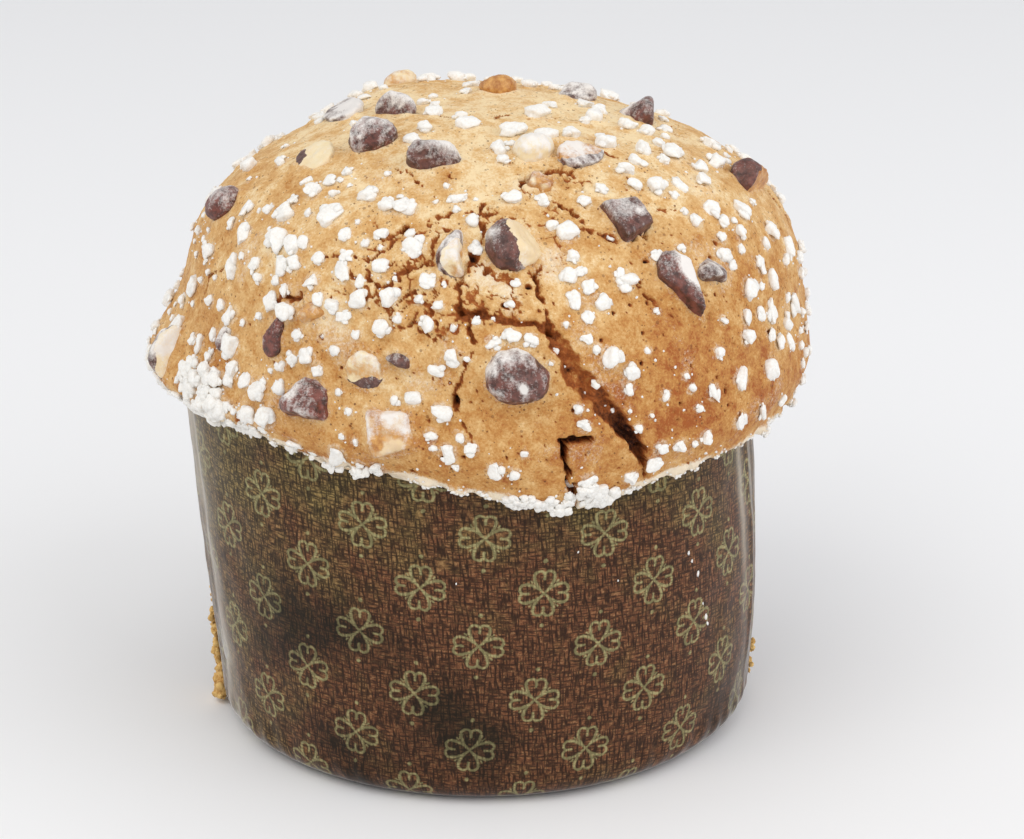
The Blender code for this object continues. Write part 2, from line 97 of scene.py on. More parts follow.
# Cracks in the crust: (azimuth, elevation, width, depth) along each one.
CRACKS = [
    [(11.5, 20, 2.0, 1.4), (13.5, 16.5, 4.4, 2.4), (15.5, 12.5, 6.4, 2.4), (18, 9, 5.6, 2.6), (20.5, 6, 4.8, 3.0),
     (23, 3, 4.4, 4.0), (25.5, 0, 3.9, 4.8), (27.5, -3.5, 3.0, 4.2), (29, -7, 1.6, 2.8), (30, -9, 0.7, 1.2)],
    [(12, 19, 1.3, 1.2), (9, 20.5, 1.7, 1.6), (5, 21.5, 1.5, 1.3), (1, 22, 2.1, 1.8), (-2, 22.5, 2.9, 2.0),
     (-5, 24, 1.4, 1.0)],
    [(12, 19, 0.9, 1.8), (12, 23, 0.9, 2.0), (11, 26, 1.0, 1.7), (11, 29, 0.9, 1.5), (13, 32, 0.6, 0.8)],
    [(-4, 23, 1.6, 1.4), (-2, 20, 1.1, 1.6), (-1, 17, 0.9, 1.2), (-3, 14, 0.8, 1.1), (-4.5, 11, 1.2, 1.6),
     (-5, 8, 1.2, 1.8), (-4, 5, 0.7, 1.0), (-1, -2, 0.5, 0.7)],
    [(-15, 20, 0.6, 0.7), (-12, 21, 0.7, 0.9), (-9, 18.5, 0.8, 1.2), (-6, 20, 0.9, 1.2), (-4, 23, 1.2, 1.2)],
    [(-4, 23, 1.4, 1.4), (-4.5, 27, 1.5, 1.5), (-3, 31, 1.3, 1.4), (0, 35, 1.2, 1.3), (0, 41, 1.5, 1.6),
     (1, 46, 0.8, 0.8)],
    [(0, 29, 1.0, 1.0), (3, 31, 1.6, 1.2), (8, 29, 1.2, 1.0), (11, 28, 0.8, 0.8)],
    [(18.5, 0.4, 1.9, 4.2), (15, 0.8, 1.8, 4.6), (13, 0.5, 1.8, 4.6), (13.2, -2, 1.4, 4.6), (14, -5, 1.2, 4.4),
     (15.5, -9, 1.2, 4.4), (16, -14, 1.8, 4.4)],
    [(30, 26, 0.7, 0.9), (31, 23, 0.9, 1.2), (34, 20, 0.8, 1.0), (37, 18, 0.4, 0.5)],
    [(19, 43, 1.4, 1.8), (22, 40, 2.2, 2.2), (24, 38, 0.9, 1.0)],
    [(23, 37, 0.8, 1.0), (27, 35, 1.0, 1.3), (31, 32, 1.3, 2.0), (36, 33, 1.4, 1.8), (39, 37, 0.7, 0.9)],
    [(40, 38, 0.6, 0.8), (44, 36, 0.8, 1.0), (48, 37, 0.5, 0.6)],
    [(41, 45, 0.8, 0.9), (43, 42, 0.8, 0.9)],
    [(-36, 28, 0.7, 1.0), (-33, 30, 0.9, 1.2), (-30, 32, 0.5, 0.7)],
    [(-42, 20.5, 1.0, 1.4), (-40.5, 22, 1.2, 1.8), (-36.5, 22, 1.1, 1.6), (-36, 23.5, 0.7, 1.0)],
    [(-24, 33, 0.5, 0.7), (-20, 35, 0.8, 1.0), (-17, 38, 1.6, 2.0)],
    [(-29, 27, 0.6, 0.8), (-26, 29, 0.7, 1.0), (-24, 27, 0.8, 1.0), (-23, 23, 0.6, 0.8)],
    [(-23, 29, 0.7, 1.0), (-21, 26.5, 1.0, 1.4), (-18, 27, 1.0, 1.4), (-15.5, 29, 0.9, 1.2), (-13, 30.5, 1.0, 1.2),
     (-10, 32, 0.8, 1.0), (-10, 37, 0.7, 0.9), (-10, 40.5, 0.9, 1.0), (-4.5, 42, 0.6, 0.8)],
    [(-13, 21, 0.8, 1.2), (-10.5, 24, 1.1, 1.5), (-9.5, 22, 0.8, 1.2), (-7.5, 19.5, 0.6, 0.8)],
    [(15, 77, 0.9, 1.0), (25, 79, 1.6, 1.6), (40, 78, 0.9, 1.0)],
    [(60.5, 70.5, 0.8, 0.9), (66, 69, 1.0, 1.2), (69.5, 64, 0.7, 0.9)],
    [(-60, 76, 0.6, 0.8), (-36, 77, 0.9, 1.1), (-13, 77, 0.7, 0.9)],
    [(-12, 39, 0.8, 1.0), (-8.5, 38, 1.0, 1.3), (-5, 38.5, 0.6, 0.8)],
    [(-9.5, 51.5, 0.9, 1.1), (-7.5, 49.5, 0.7, 0.9)],
    [(45, 54.5, 0.7, 0.9), (45, 51.5, 0.8, 1.0), (48, 49.5, 0.6, 0.8)],
    [(-27, 51.5, 0.6, 0.8), (-21.5, 50.5, 0.9, 1.1), (-18, 48, 0.6, 0.8)],
    [(61, 49.5, 0.6, 0.8), (63.5, 46.5, 0.6, 0.8)],
    [(-26.5, 30.5, 0.6, 0.9), (-22.5, 31.5, 0.8, 1.1), (-19.5, 33.5, 0.8, 1.1), (-18.5, 36, 0.6, 0.8)],
    [(-15.5, 24.5, 0.7, 1.0), (-13.5, 26, 0.9, 1.2), (-10, 26.5, 0.6, 0.9)],
    [(12, 49, 2.4, 2.0), (18, 51, 3.2, 2.8), (24, 51, 2.6, 2.2), (29, 50, 1.0, 1.0)],
    [(86, 31, 1.0, 1.5), (89, 26, 1.9, 3.0), (91, 18, 2.0, 3.0), (92, 12, 0.9, 1.4)],
    [(-12, 40, 0.5, 0.7), (-7, 42, 0.8, 1.0), (0, 42, 0.9, 1.2), (8, 40, 0.6, 0.8)],
    [(150, 30, 0.8, 1.0), (158, 24, 1.5, 2.0), (163, 17, 2.0, 2.8), (171, 12, 1.4, 2.0), (176, 6, 0.7, 1.0)],
    [(205, 22, 0.8, 1.0), (212, 27, 1.4, 1.8), (220, 29, 1.1, 1.4), (228, 34, 0.6, 0.8)],
    [(120, 22, 0.6, 0.8), (128, 18, 1.1, 1.4), (137, 19, 0.6, 0.9)],
    [(-60, 24, 0.5, 0.8), (-66, 20, 0.8, 1.2), (-68, 14, 0.5, 0.8)],
]

# Open holes in the glaze: (azimuth, elevation, radius).
HOLES = [(-12.5, -5.5, 0.9), (-17, 38, 1.1), (-4.5, 8, 1.1), (-46, -0.5, 1.5), (13, 50, 1.6),
         (-7, -2, 0.6), (-5.5, -4, 0.6), (-8, -5, 0.5), (28, 12, 0.6), (45, 4, 0.8), (35, 4, 0.6),
         (49, 26, 0.8), (52, 28, 0.7), (9, 27, 0.9), (4, 24, 0.8), (-2, 33, 0.9), (60, 10, 0.7),
         (34, 29, 0.7), (43, 24, 0.6), (47, 20, 0.5), (38, 10, 0.5), (29, 17, 0.5), (24, 21, 0.6), (-30, 17, 0.7),
         (196, 18, 1.0), (140, 34, 0.9), (236, 14, 1.0), (178, 38, 1.1), (110, 30, 0.8)]

# Large lumps of pearl sugar: (azimuth, elevation, width, height).
LUMPS = [
    (-82, 40, 4.5, 4.5), (-63, 34, 3, 5.5), (-49, 36, 5, 5.5), (-58, 30, 4, 6), (-46, 31, 6, 6.5),
    (-42, 31, 4.5, 5), (-69, 24, 4.5, 4.5), (-58, 24, 3.5, 6.5), (-50, 26, 3, 4.5), (-43, 27, 4, 4.5),
    (-40, 28, 4.5, 4), (-74, 16, 4, 6), (-90, 8, 4, 5), (-43, 21, 3.5, 5), (-40, 23.5, 3, 3.5),
    (-34, 26, 4, 4), (-38, 20, 4.5, 5), (-28, 28, 3.5, 6), (-24, 27, 3, 3.5), (-28, 31, 4, 2.5),
    (-36, 38, 5, 6.5), (-30, 44, 5, 4.5), (-23, 42, 4.5, 4), (-20, 42, 4.5, 4.5), (-30, 35, 3, 3.5),
    (-22, 36, 3.5, 3), (-20, 30, 4, 3.5), (-17, 25, 4.5, 4.5), (-23, 24, 5, 4.5), (-31, 23, 3, 3.5),
    (-28.5, 22.5, 3.5, 3.5), (-26, 21, 4.5, 2.5), (-18, 20, 4.5, 4), (-15.5, 21.5, 2.5, 2.5),
    (-54, 16, 3.5, 5.5), (-74, 8, 4, 6), (-63, 8, 3, 5), (-58, 7, 3, 5), (-59, 11, 3, 4),
    (-52, 11, 5, 6.5), (-50, 7, 4, 5), (-61, 1, 3.5, 5), (-46, 6, 3.5, 4), (-36, 12, 3, 3.5),
    (-32.5, 13, 3.5, 4.5), (-30.5, 11, 3, 3.5), (-27, 15, 3, 2.5), (-23, 18, 2.5, 2.5),
    (-53, 4, 4.5, 5), (-51, 0, 5, 5.5), (-43, 5, 5, 5), (-40, 1, 5.5, 5.5), (-44, 0.5, 4, 4.5),
    (-38, 6.5, 4, 3.5), (-46, 42, 4.5, 4), (-44, 45, 3.5, 3.5), (-52, 44, 2, 4), (-25, 34, 2.5, 2.5),
    (-34, 30, 3, 3), (-48, 24, 3, 2.5), (-18, 42, 4, 4.5), (-6, 45, 5.5, 3), (-2, 40, 3, 4),
    (-14, 34, 5.5, 6), (-1, 34, 3, 3.5), (8, 45, 5, 4), (16, 44, 4, 3.5), (16, 38, 3, 3),
    (19, 36, 5, 5.5), (18.5, 31.5, 3, 3.5), (32, 44, 3, 4), (26, 42, 3.5, 3), (-10, 28, 4.5, 3.5),
    (-12, 25, 2.5, 2.5), (-8, 24, 2.5, 2.5), (-10, 21, 3.5, 4), (17, 28, 4, 4), (19, 28.5, 3, 3),
    (17, 24, 3, 4.5), (20, 26, 3.5, 3.5), (22, 23, 4, 4.5), (19, 21, 3, 3), (18, 17.5, 3, 3),
    (22, 14, 5, 5), (25.5, 11, 3.5, 4), (2, 17.8, 4.2, 3), (5, 18.8, 4, 3.5), (8.3, 18, 4, 3),
    (-5, 15.5, 4.5, 4), (-8, 13, 4.5, 2.5), (-12, 8, 4, 3.5), (-7, 6, 5, 4), (16, 6, 2.5, 2.5),
    (27, 27, 2, 4), (8, 56, 3.5, 3), (5, 24, 2.5, 2), (41, 43, 4, 3), (46, 41, 4.5, 4.5),
    (53, 40, 3, 5.5), (61, 39, 4.5, 4.5), (56, 34, 4.5, 4.5), (50, 33, 3.5, 4), (57, 31, 3, 3.5),
    (65, 31, 3.5, 6), (60, 28, 3, 4), (54, 28.5, 3, 3), (58, 25.5, 2.5, 3), (52, 26, 4, 4),
    (28, 26, 6, 4), (36, 29, 3.5, 2.5), (62, 21.5, 3, 5), (65, 18, 3, 5.5), (56, 19, 4, 6),
    (67, 24, 2.5, 4.5), (77, 20, 4.5, 7), (72, 25, 4, 5.5), (73, 11, 3, 7), (58, 14, 2.5, 4.5),
    (62, 13, 3, 6.5), (60, 9.5, 2.5, 4), (53, 14.5, 2.5, 4), (52, 11.5, 4, 4), (63, 7.5, 3.5, 4),
    (68, 6, 2.5, 5.5), (58, 4, 4.5, 5.5), (49, 5, 4, 6.5), (42, 4.5, 2.5, 5.5), (25, 8.5, 2.5, 3.5),
    (32, 6, 2, 3), (48, -2, 3, 5.5), (54, -2, 2.5, 6), (40, -3, 4, 3.5), (35, -3.5, 4, 3),
    (-26, -3, 3.5, 6), (-25, -7, 2, 4), (-20, -7, 4.5, 3), (-9, 2, 3.5, 2), (-4, 2, 2.5, 2.5),
    (-2, 0, 3.5, 3), (-6, -1, 3.5, 5.5), (2, -4, 4, 4.5), (5, -4.5, 3, 2.5), (17, 3, 4, 2),
    (18, -7, 4.5, 3), (19.5, -10, 3.5, 4), (30, -6, 4.5, 3.5), (26, -8, 3.5, 3.5), (31, -3, 3.5, 3.5),
    (-30, 62, 6, 4), (-8, 72, 6, 5), (57, 74, 6.5, 5), (98, 66, 5, 4.5), (8, 60, 4.5, 5),
    (76, 57, 5, 4.5), (74, 53, 4, 5), (50, 55, 5.5, 5.5), (58, 50, 4.5, 4.5), (64, 46, 5, 5),
    (50, 48, 4, 4.5), (43, 47, 4.5, 4.5), (66, 41, 4.5, 4.5), (91, 41, 5, 5), (76, 40, 5, 4.5),
    (76, 64, 6, 5), (19, 68, 7, 5), (34, 64, 6, 4.5), (-60, 60, 4.5, 4), (45, 62, 4, 4),
]

# Regions sprinkled with further lumps: azimuths, elevations, how many, their sizes, and how close
# they may lie.
SPRINKLES = [
    ((96, 262), (1, 60), 190, (2.6, 5.2), 0.8),
    ((0, 360), (60, 88), 30, (2.5, 4.5), 0.8),
    ((40, 96), (-4, 50), 70, (2.0, 3.8), 0.8),
    ((-95, -15), (-2, 52), 110, (1.4, 3.2), 0.7),
    ((-15, 40), (-4, 52), 50, (1.2, 2.4), 0.8),
    ((-64, -50), (-7, 5), 60, (2.2, 4.4), 0.1),
    ((-50, -43), (-7, 1), 22, (2.0, 4.2), 0.1),
    ((-90, -70), (-3, 6), 26, (2.0, 4.0), 0.3),
    ((14, 22), (-14, -8), 16, (2.0, 3.4), 0.2),
]
# The granular edge of sugar along the rim: azimuths, how many lumps, and their sizes.
FRINGES = [
    ((-64, -46), 12, (2.0, 3.8)),
    ((-45, -34), 7, (1.8, 3.0)),
    ((-32, -16), 12, (1.3, 2.8)),
    ((-14, -3), 26, (0.4, 1.0)),
    ((-3, 4), 7, (0.8, 1.7)),
    ((4, 13), 40, (1.0, 2.6)),
    ((13, 17), 9, (1.8, 3.4)),
    ((18, 25), 14, (1.8, 3.6)),
    ((17, 30), 20, (0.7, 1.6)),
    ((30, 58), 22, (0.5, 1.1)),
    ((58, 90), 30, (0.9, 2.4)),
    ((90, 292), 110, (1.0, 3.0)),
]
# Where the rim itself is coated with fine sugar: azimuth and reach.
RIM_SUGAR = [(-55, 9), (-39, 4), (-27, 4), (-12, 6), (1, 5), (8, 5), (15, 3), (22, 6), (36, 7), (60, 9), (110, 14),
             (150, 16), (200, 18), (245, 14)]

# How each piece of nut differs: toast of its flesh, redness of its skin and cover of sugar dust.
NUT_FINISH = {
    1: (0.35, 0.2, 0.45), 2: (1.1, 0.3, 0.1), 3: (0.2, 0.1, 0.6), 4: (0.2, 0.5, 0.28), 5: (0.2, 0.1, 0.75),
    6: (0.2, 0.3, 0.6), 7: (0.2, 0.6, 0.55), 8: (0.2, 0.35, 0.4), 9: (0.0, 0.1, 0.25), 10: (0.1, 0.1, 0.75),
    11: (0.8, 0.2, 0.65), 12: (0.7, 0.2, 0.3), 13: (1.1, 0.6, 0.15), 14: (0.2, 0.25, 0.36),
    15: (0.1, 0.35, 0.2), 16: (0.3, 0.2, 0.7), 17: (0.2, 0.9, 0.45), 18: (0.2, 0.7, 0.25),
    19: (0.2, 0.1, 0.5), 20: (0.2, 0.5, 0.4), 21: (0.2, 0.9, 0.2), 22: (0.6, 0.6, 0.3),
    23: (0.2, 0.85, 0.35), 24: (0.42, 0.7, 0.45), 25: (0.24, 0.1, 0.4), 26: (0.2, 0.1, 0.35),
    27: (0.1, 0.1, 0.45), 28: (0.3, 0.5, 0.5),
}
NUT_USUAL = (0.3, 0.3, 0.45)

# Where a part-skinned nut is bare: the way it faces, as (sideways, upwards, outwards), and the
# limits below and above which its flesh shows.
NUT_BARE = {
    9: ((0.8, 0.6, 0.3), -2.0, -0.5), 11: ((0.0, 0.7, 0.7), -2.0, 0.15), 13: ((0.1, -0.9, 0.4), -2.0, 0.1),
    15: ((0.95, 0.25, 0.1), -2.0, 0.12), 16: ((0.6, -0.2, 0.75), -2.0, 0.25), 22: ((0.0, 0.0, 1.0), -2.0, -0.2),
    25: ((-0.2, 0.8, 0.6), -2.0, -0.32), 27: ((0.9, 0.2, -0.3), -0.25, 0.2),
}
NUT_BARE_USUAL = ((0.2, 0.5, 0.8), -2.0, 0.25)

# Where sugar dust lies thickest on a nut: how far sideways and upwards from its middle, over what
# reach, and how thick.
NUT_POWDER = {
    4: [(0.0, 0.9, 0.35, 0.5)], 5: [(0.3, 0.3, 0.8, 0.5)], 8: [(0.75, 0.5, 0.4, 0.6)], 10: [(0.0, 0.6, 0.5, 0.3)],
    11: [(0.0, 0.6, 0.5, 0.8)], 14: [(-0.3, 0.8, 0.4, 0.2), (0.35, 0.1, 0.25, 0.25)],
    15: [(0.3, -0.8, 0.3, 0.3), (-0.8, 0.5, 0.3, 0.4)], 17: [(-0.8, 0.0, 0.35, 0.6)],
    18: [(0.4, 0.45, 0.5, 1.4), (0.6, -0.1, 0.5, 1.3)],
    20: [(-0.5, 0.9, 0.3, 0.35), (-0.95, 0.35, 0.25, 0.35), (0.2, 1.05, 0.25, 0.4), (0.1, -0.4, 0.2, 0.9),
         (0.2, -0.5, 0.16, 0.8), (-0.8, -0.4, 0.2, 0.25)],
    21: [(-0.8, -0.5, 0.3, 0.4)], 23: [(-0.3, 0.6, 0.35, 0.5), (0.5, -0.3, 0.3, 0.4)],
    24: [(-0.9, 0.0, 0.35, 0.5), (0.9, 0.3, 0.35, 0.5), (0.0, 0.95, 0.4, 0.5)], 27: [(0.6, 0.5, 0.4, 0.5)],
}

CRUST_TRIANGLES = 198000
HASH_SIZE = 4096
CASE_COLUMNS = 480
CASE_ROWS = 110


# ---------------------------------------------------------------- fields of numbers


@functools.cache
def hash_table(seed):
    """Random numbers from -1 to 1 that lattice cells are looked up in."""
    return np.random.default_rng(seed).uniform(-1, 1, HASH_SIZE)


def cell_number(cells, seed):
    """One fixed random number from -1 to 1 for each lattice cell."""
    mixed = (cells[..., 0] * 73856093) ^ (cells[..., 1] * 19349663) ^ (cells[..., 2] * 83492791)
    return hash_table(seed)[mixed % HASH_SIZE]


def ripple(points, scale, seed):
    """Smooth random values from -1 to 1 that change over about one scale of length."""
    scaled = points / scale
    cells = np.floor(scaled).astype(np.int64)
    share = scaled - cells
    share = share * share * (3 - 2 * share)
    total = 0
    for corner in np.ndindex(2, 2, 2):
        weight = np.prod(np.where(corner, share, 1 - share), axis=-1)
        total = total + weight * cell_number(cells + np.array(corner), seed)
    return total


def roughness(points, scale, seed, octaves=3):
    """Ripples added up, each half as large and half as high as the last."""
    return sum(ripple(points, scale / 2 ** n, seed + n) / 2 ** n for n in range(octaves))


def cell_edges(points, size, seed):
    """Distances to the nearest two of points scattered one to a cell, and the nearest's own number."""
    scaled = points / size
    cells = np.floor(scaled).astype(np.int64)
    first = np.full(points.shape[:-1], 9.0)
    second = first.copy()
    own = np.zeros(points.shape[:-1])
    for step in np.ndindex(3, 3, 3):
        cell = cells + np.array(step) - 1
        jitter = [0.5 + 0.45 * cell_number(cell, seed + axis) for axis in range(3)]
        away = np.linalg.norm(cell + np.stack(jitter, -1) - scaled, axis=-1)
        nearer = away < first
        second = np.where(nearer, first, np.minimum(second, away))
        own = np.where(nearer, cell_number(cell, seed + 3), own)
        first = np.where(nearer, away, first)
    return first * size, second * size, own


def smooth_step(low, high, value):
    """0 below low, 1 above high, and an even slope between."""
    share = np.clip((value - low) / (high - low), 0, 1)
    return share * share * (3 - 2 * share)


def hump(azimuth, centre, reach):
    """A smooth bump of height 1 at one azimuth, falling off over a reach in degrees."""
    away = (azimuth - centre + 180) % 360 - 180
    return np.exp(-((away / reach) ** 2))


# ---------------------------------------------------------------- form of the loaf and its case


def wall_radius(level):
    """Outer radius of the paper wall at a level above the ground."""
    return CASE_RADIUS + CASE_SWELL * np.sin(math.pi / 2 * np.minimum(level / CASE_SWELL_LEVEL, 1))


def lean(level):
    """How far the case's axis is shifted towards +X at a level."""
    return CASE_LEAN * (level / CASE_HEIGHT) ** 2


def rim_level(azimuth):
    """Level of the rim's lower edge: lowest just right of the front, highest at the left."""
    tilt = RIM_TILT * np.sin(np.radians(azimuth))
    return RIM_LEVEL - tilt - RIM_DIP * hump(azimuth, 16, 19) + RIM_RISE * hump(azimuth, -55, 22)


def direction(azimuth, elevation):
    """Unit vectors from the crown's centre."""
    turn, rise = np.radians(azimuth), np.radians(elevation)
    return np.stack((np.sin(turn) * np.cos(rise), -np.cos(turn) * np.cos(rise),
                     np.sin(rise) * np.ones_like(turn)), -1)


def around(azimuth, radius, level):
    """Points at azimuths, radii and levels."""
    turn = np.radians(azimuth)
    return np.stack((radius * np.sin(turn), -radius * np.cos(turn), level * np.ones_like(turn)), -1)


def in_case(azimuth, radius, level):
    """Points at azimuths and radii round the leaning axis of the case."""
    points = around(azimuth, radius, level)
    points[..., 0] += lean(level)
    return points


def unevenness(way):
    """How far the crust stands off an even dome in each direction from the crown's centre."""
    x, y, z = way[..., 0], way[..., 1], way[..., 2]
    height = BROAD_WAVE * np.sin(6.1 * x + 0.5) * np.sin(5.3 * y + 1.2)
    height = height + CLOSE_WAVE * np.sin(9.7 * z + 4.0 * x + 2.0 * y)
    for azimuth, elevation, reach, swell in SWELLS:
        middle = direction(np.array(float(azimuth)), elevation)
        away = np.degrees(np.arccos(np.clip(way @ middle, -1, 1)))
        height = height + swell * np.exp(-((away / reach) ** 2))
    return height


def crown_point(azimuth, elevation):
    """Points of the even crust above its widest level."""
    way = direction(azimuth, elevation)
    rise = np.radians(elevation)
    wide = CROWN_RADIUS + CROWN_SKEW * np.sin(np.radians(azimuth))
    reach = ((np.cos(rise) / wide) ** CROWN_FULLNESS
             + (np.sin(rise) / CROWN_HEIGHT) ** CROWN_FULLNESS) ** (-1 / CROWN_FULLNESS)
    over_flare = reach * np.sin(rise) + CROWN_LEVEL - LIP_FLARE_LEVEL
    flare = LIP_FLARE + LIP_FLARE_LEFT * hump(azimuth, -85, 35)
    reach = reach + flare * np.exp(-((over_flare / LIP_FLARE_REACH) ** 2)) * np.cos(rise)
    reach = reach + unevenness(way)
    return way * reach[..., None] + np.array((0, 0, CROWN_LEVEL))


def off_wall(azimuth, points, room):
    """The points, or those a room off the paper wall where that is farther out."""
    outside = in_case(azimuth, wall_radius(points[..., 2]) + room, points[..., 2])
    farther = np.hypot(outside[..., 0], outside[..., 1]) > np.hypot(points[..., 0], points[..., 1])
    return np.where(farther[..., None], outside, points)


def rim_point(azimuth, share, edge):
    """Points on the outside of the rim, a share of the way from the widest level down to its edge."""
    widest = crown_point(azimuth, np.zeros_like(azimuth))
    radius = np.hypot(widest[..., 0], widest[..., 1]) - RIM_ROLL * share ** 2
    level = CROWN_LEVEL - share * (CROWN_LEVEL - edge)
    return off_wall(azimuth, around(azimuth, radius, level), 2 * GAP + RIM_THINNEST)


def ragged_edge(azimuth):
    """The rim's lower edge with its small teeth and, at the left, a hanging tip."""
    places = around(azimuth, CROWN_RADIUS, CROWN_LEVEL)
    teeth = 0.7 * roughness(places, 7.0, 901) + 0.35 * ripple(places, 1.8, 905)
    return rim_level(azimuth) + teeth - 3.0 * hump(azimuth, -88, 2.5)


def crust_place(azimuth, elevation):
    """Points on the even crust, where an elevation below 0 lies on the rim."""
    azimuth, elevation = np.asarray(azimuth, float), np.asarray(elevation, float)
    above = crown_point(azimuth, np.maximum(elevation, 0))
    drop = np.maximum(-CROWN_RADIUS * np.tan(np.radians(elevation)), 0)
    edge = rim_level(azimuth)
    below = rim_point(azimuth, np.clip(drop / (CROWN_LEVEL - edge), 0, 1), edge)
    return np.where((elevation < 0)[..., None], below, above)


# ---------------------------------------------------------------- places of sugar and nuts


def nut_number(name):
    """The number at the end of a nut's name."""
    return int(name.rsplit("_", 1)[1])


@functools.cache
def nut_shapes():
    """For each nut of the frame: its centre, and the middle and outward normal of each face."""
    shapes = {}
    for name, piece in NODES.items():
        if name.startswith("hazelnut"):
            faces = piece.data.polygons
            middles = np.array([face.center for face in faces]) / MM
            normals = np.array([face.normal for face in faces])
            shapes[name] = (middles.mean(0), middles, normals)
    return shapes


def off_nut(points, shape):
    """How far points lie outside a nut, or inside it as negative numbers."""
    _, middles, normals = shape
    levels = (middles * normals).sum(1)
    return (points @ normals.T - levels).max(-1)


def clear_of_nuts(point, room):
    """Whether a point is a room away from every nut."""
    near = [shape for shape in nut_shapes().values() if np.linalg.norm(point - shape[0]) < 14]
    return all(off_nut(point[None], shape)[0] > room for shape in near)


@functools.cache
def sugar_places():
    """(azimuth, elevation, width, height) of every lump of pearl sugar, listed and sprinkled."""
    draw = random.Random(11)
    rows = list(LUMPS)
    taken = [crust_place(row[0], row[1]) for row in rows]
    for azimuths, elevations, count, sizes, apart in SPRINKLES:
        for _ in range(count):
            azimuth = draw.uniform(*azimuths)
            low, high = (math.sin(math.radians(limit)) for limit in elevations)
            elevation = math.degrees(math.asin(draw.uniform(low, high)))
            size = draw.uniform(*sizes)
            point = crust_place(azimuth, elevation)
            near = min(np.linalg.norm(np.array(taken) - point, axis=1))
            if near < apart * size + 1.5 * apart or not clear_of_nuts(point, 0.6 * size):
                continue
            taken.append(point)
            rows.append((azimuth, elevation, size * draw.uniform(0.85, 1.2), size))
    for azimuths, count, sizes in FRINGES:
        for _ in range(count):
            azimuth = draw.uniform(*azimuths)
            size = draw.uniform(*sizes)
            drop = CROWN_LEVEL - rim_level(azimuth) - draw.triangular(0.0, 1.4 * size, 0.3)
            elevation = -math.degrees(math.atan(drop / CROWN_RADIUS))
            rows.append((azimuth, elevation, size * draw.uniform(0.9, 1.3), size))
    return np.array(rows)


# ---------------------------------------------------------------- the crust's relief


def path_depth(points, path, wander):
    """How far into a crack points lie, from 0 outside it to 1 at its floor, and its depth there."""
    places = crust_place([row[0] for row in path], [row[1] for row in path])
    found = np.zeros(points.shape[:-1])
    depth = np.zeros(points.shape[:-1])
    middle, reach = places.mean(0), np.ptp(places, axis=0).max() + 6
    near = np.linalg.norm(points - middle, axis=-1) < reach
    spots = points[near] + wander[near]
    best, deep = found[near], depth[near]
    gaps = smooth_step(-0.8, -0.3, ripple(points[near], 2.8, 25))
    for index in range(len(path) - 1):
        start, along = places[index], places[index + 1] - places[index]
        share = np.clip(((spots - start) @ along) / (along @ along), 0, 1)
        away = np.linalg.norm(spots - start - share[:, None] * along, axis=-1)
        wide = 0.3 + path[index][2] + share * (path[index + 1][2] - path[index][2])
        down = path[index][3] + share * (path[index + 1][3] - path[index][3])
        inside = 1 - smooth_step(wide * 0.18, wide * 0.5 + 0.12, away)
        inside = inside * np.where(down < 2.1, 0.25 + 0.75 * gaps, 1)
        deep = np.where(inside > best, down, deep)
        best = np.maximum(best, inside)
    found[near], depth[near] = best, deep
    return found, depth


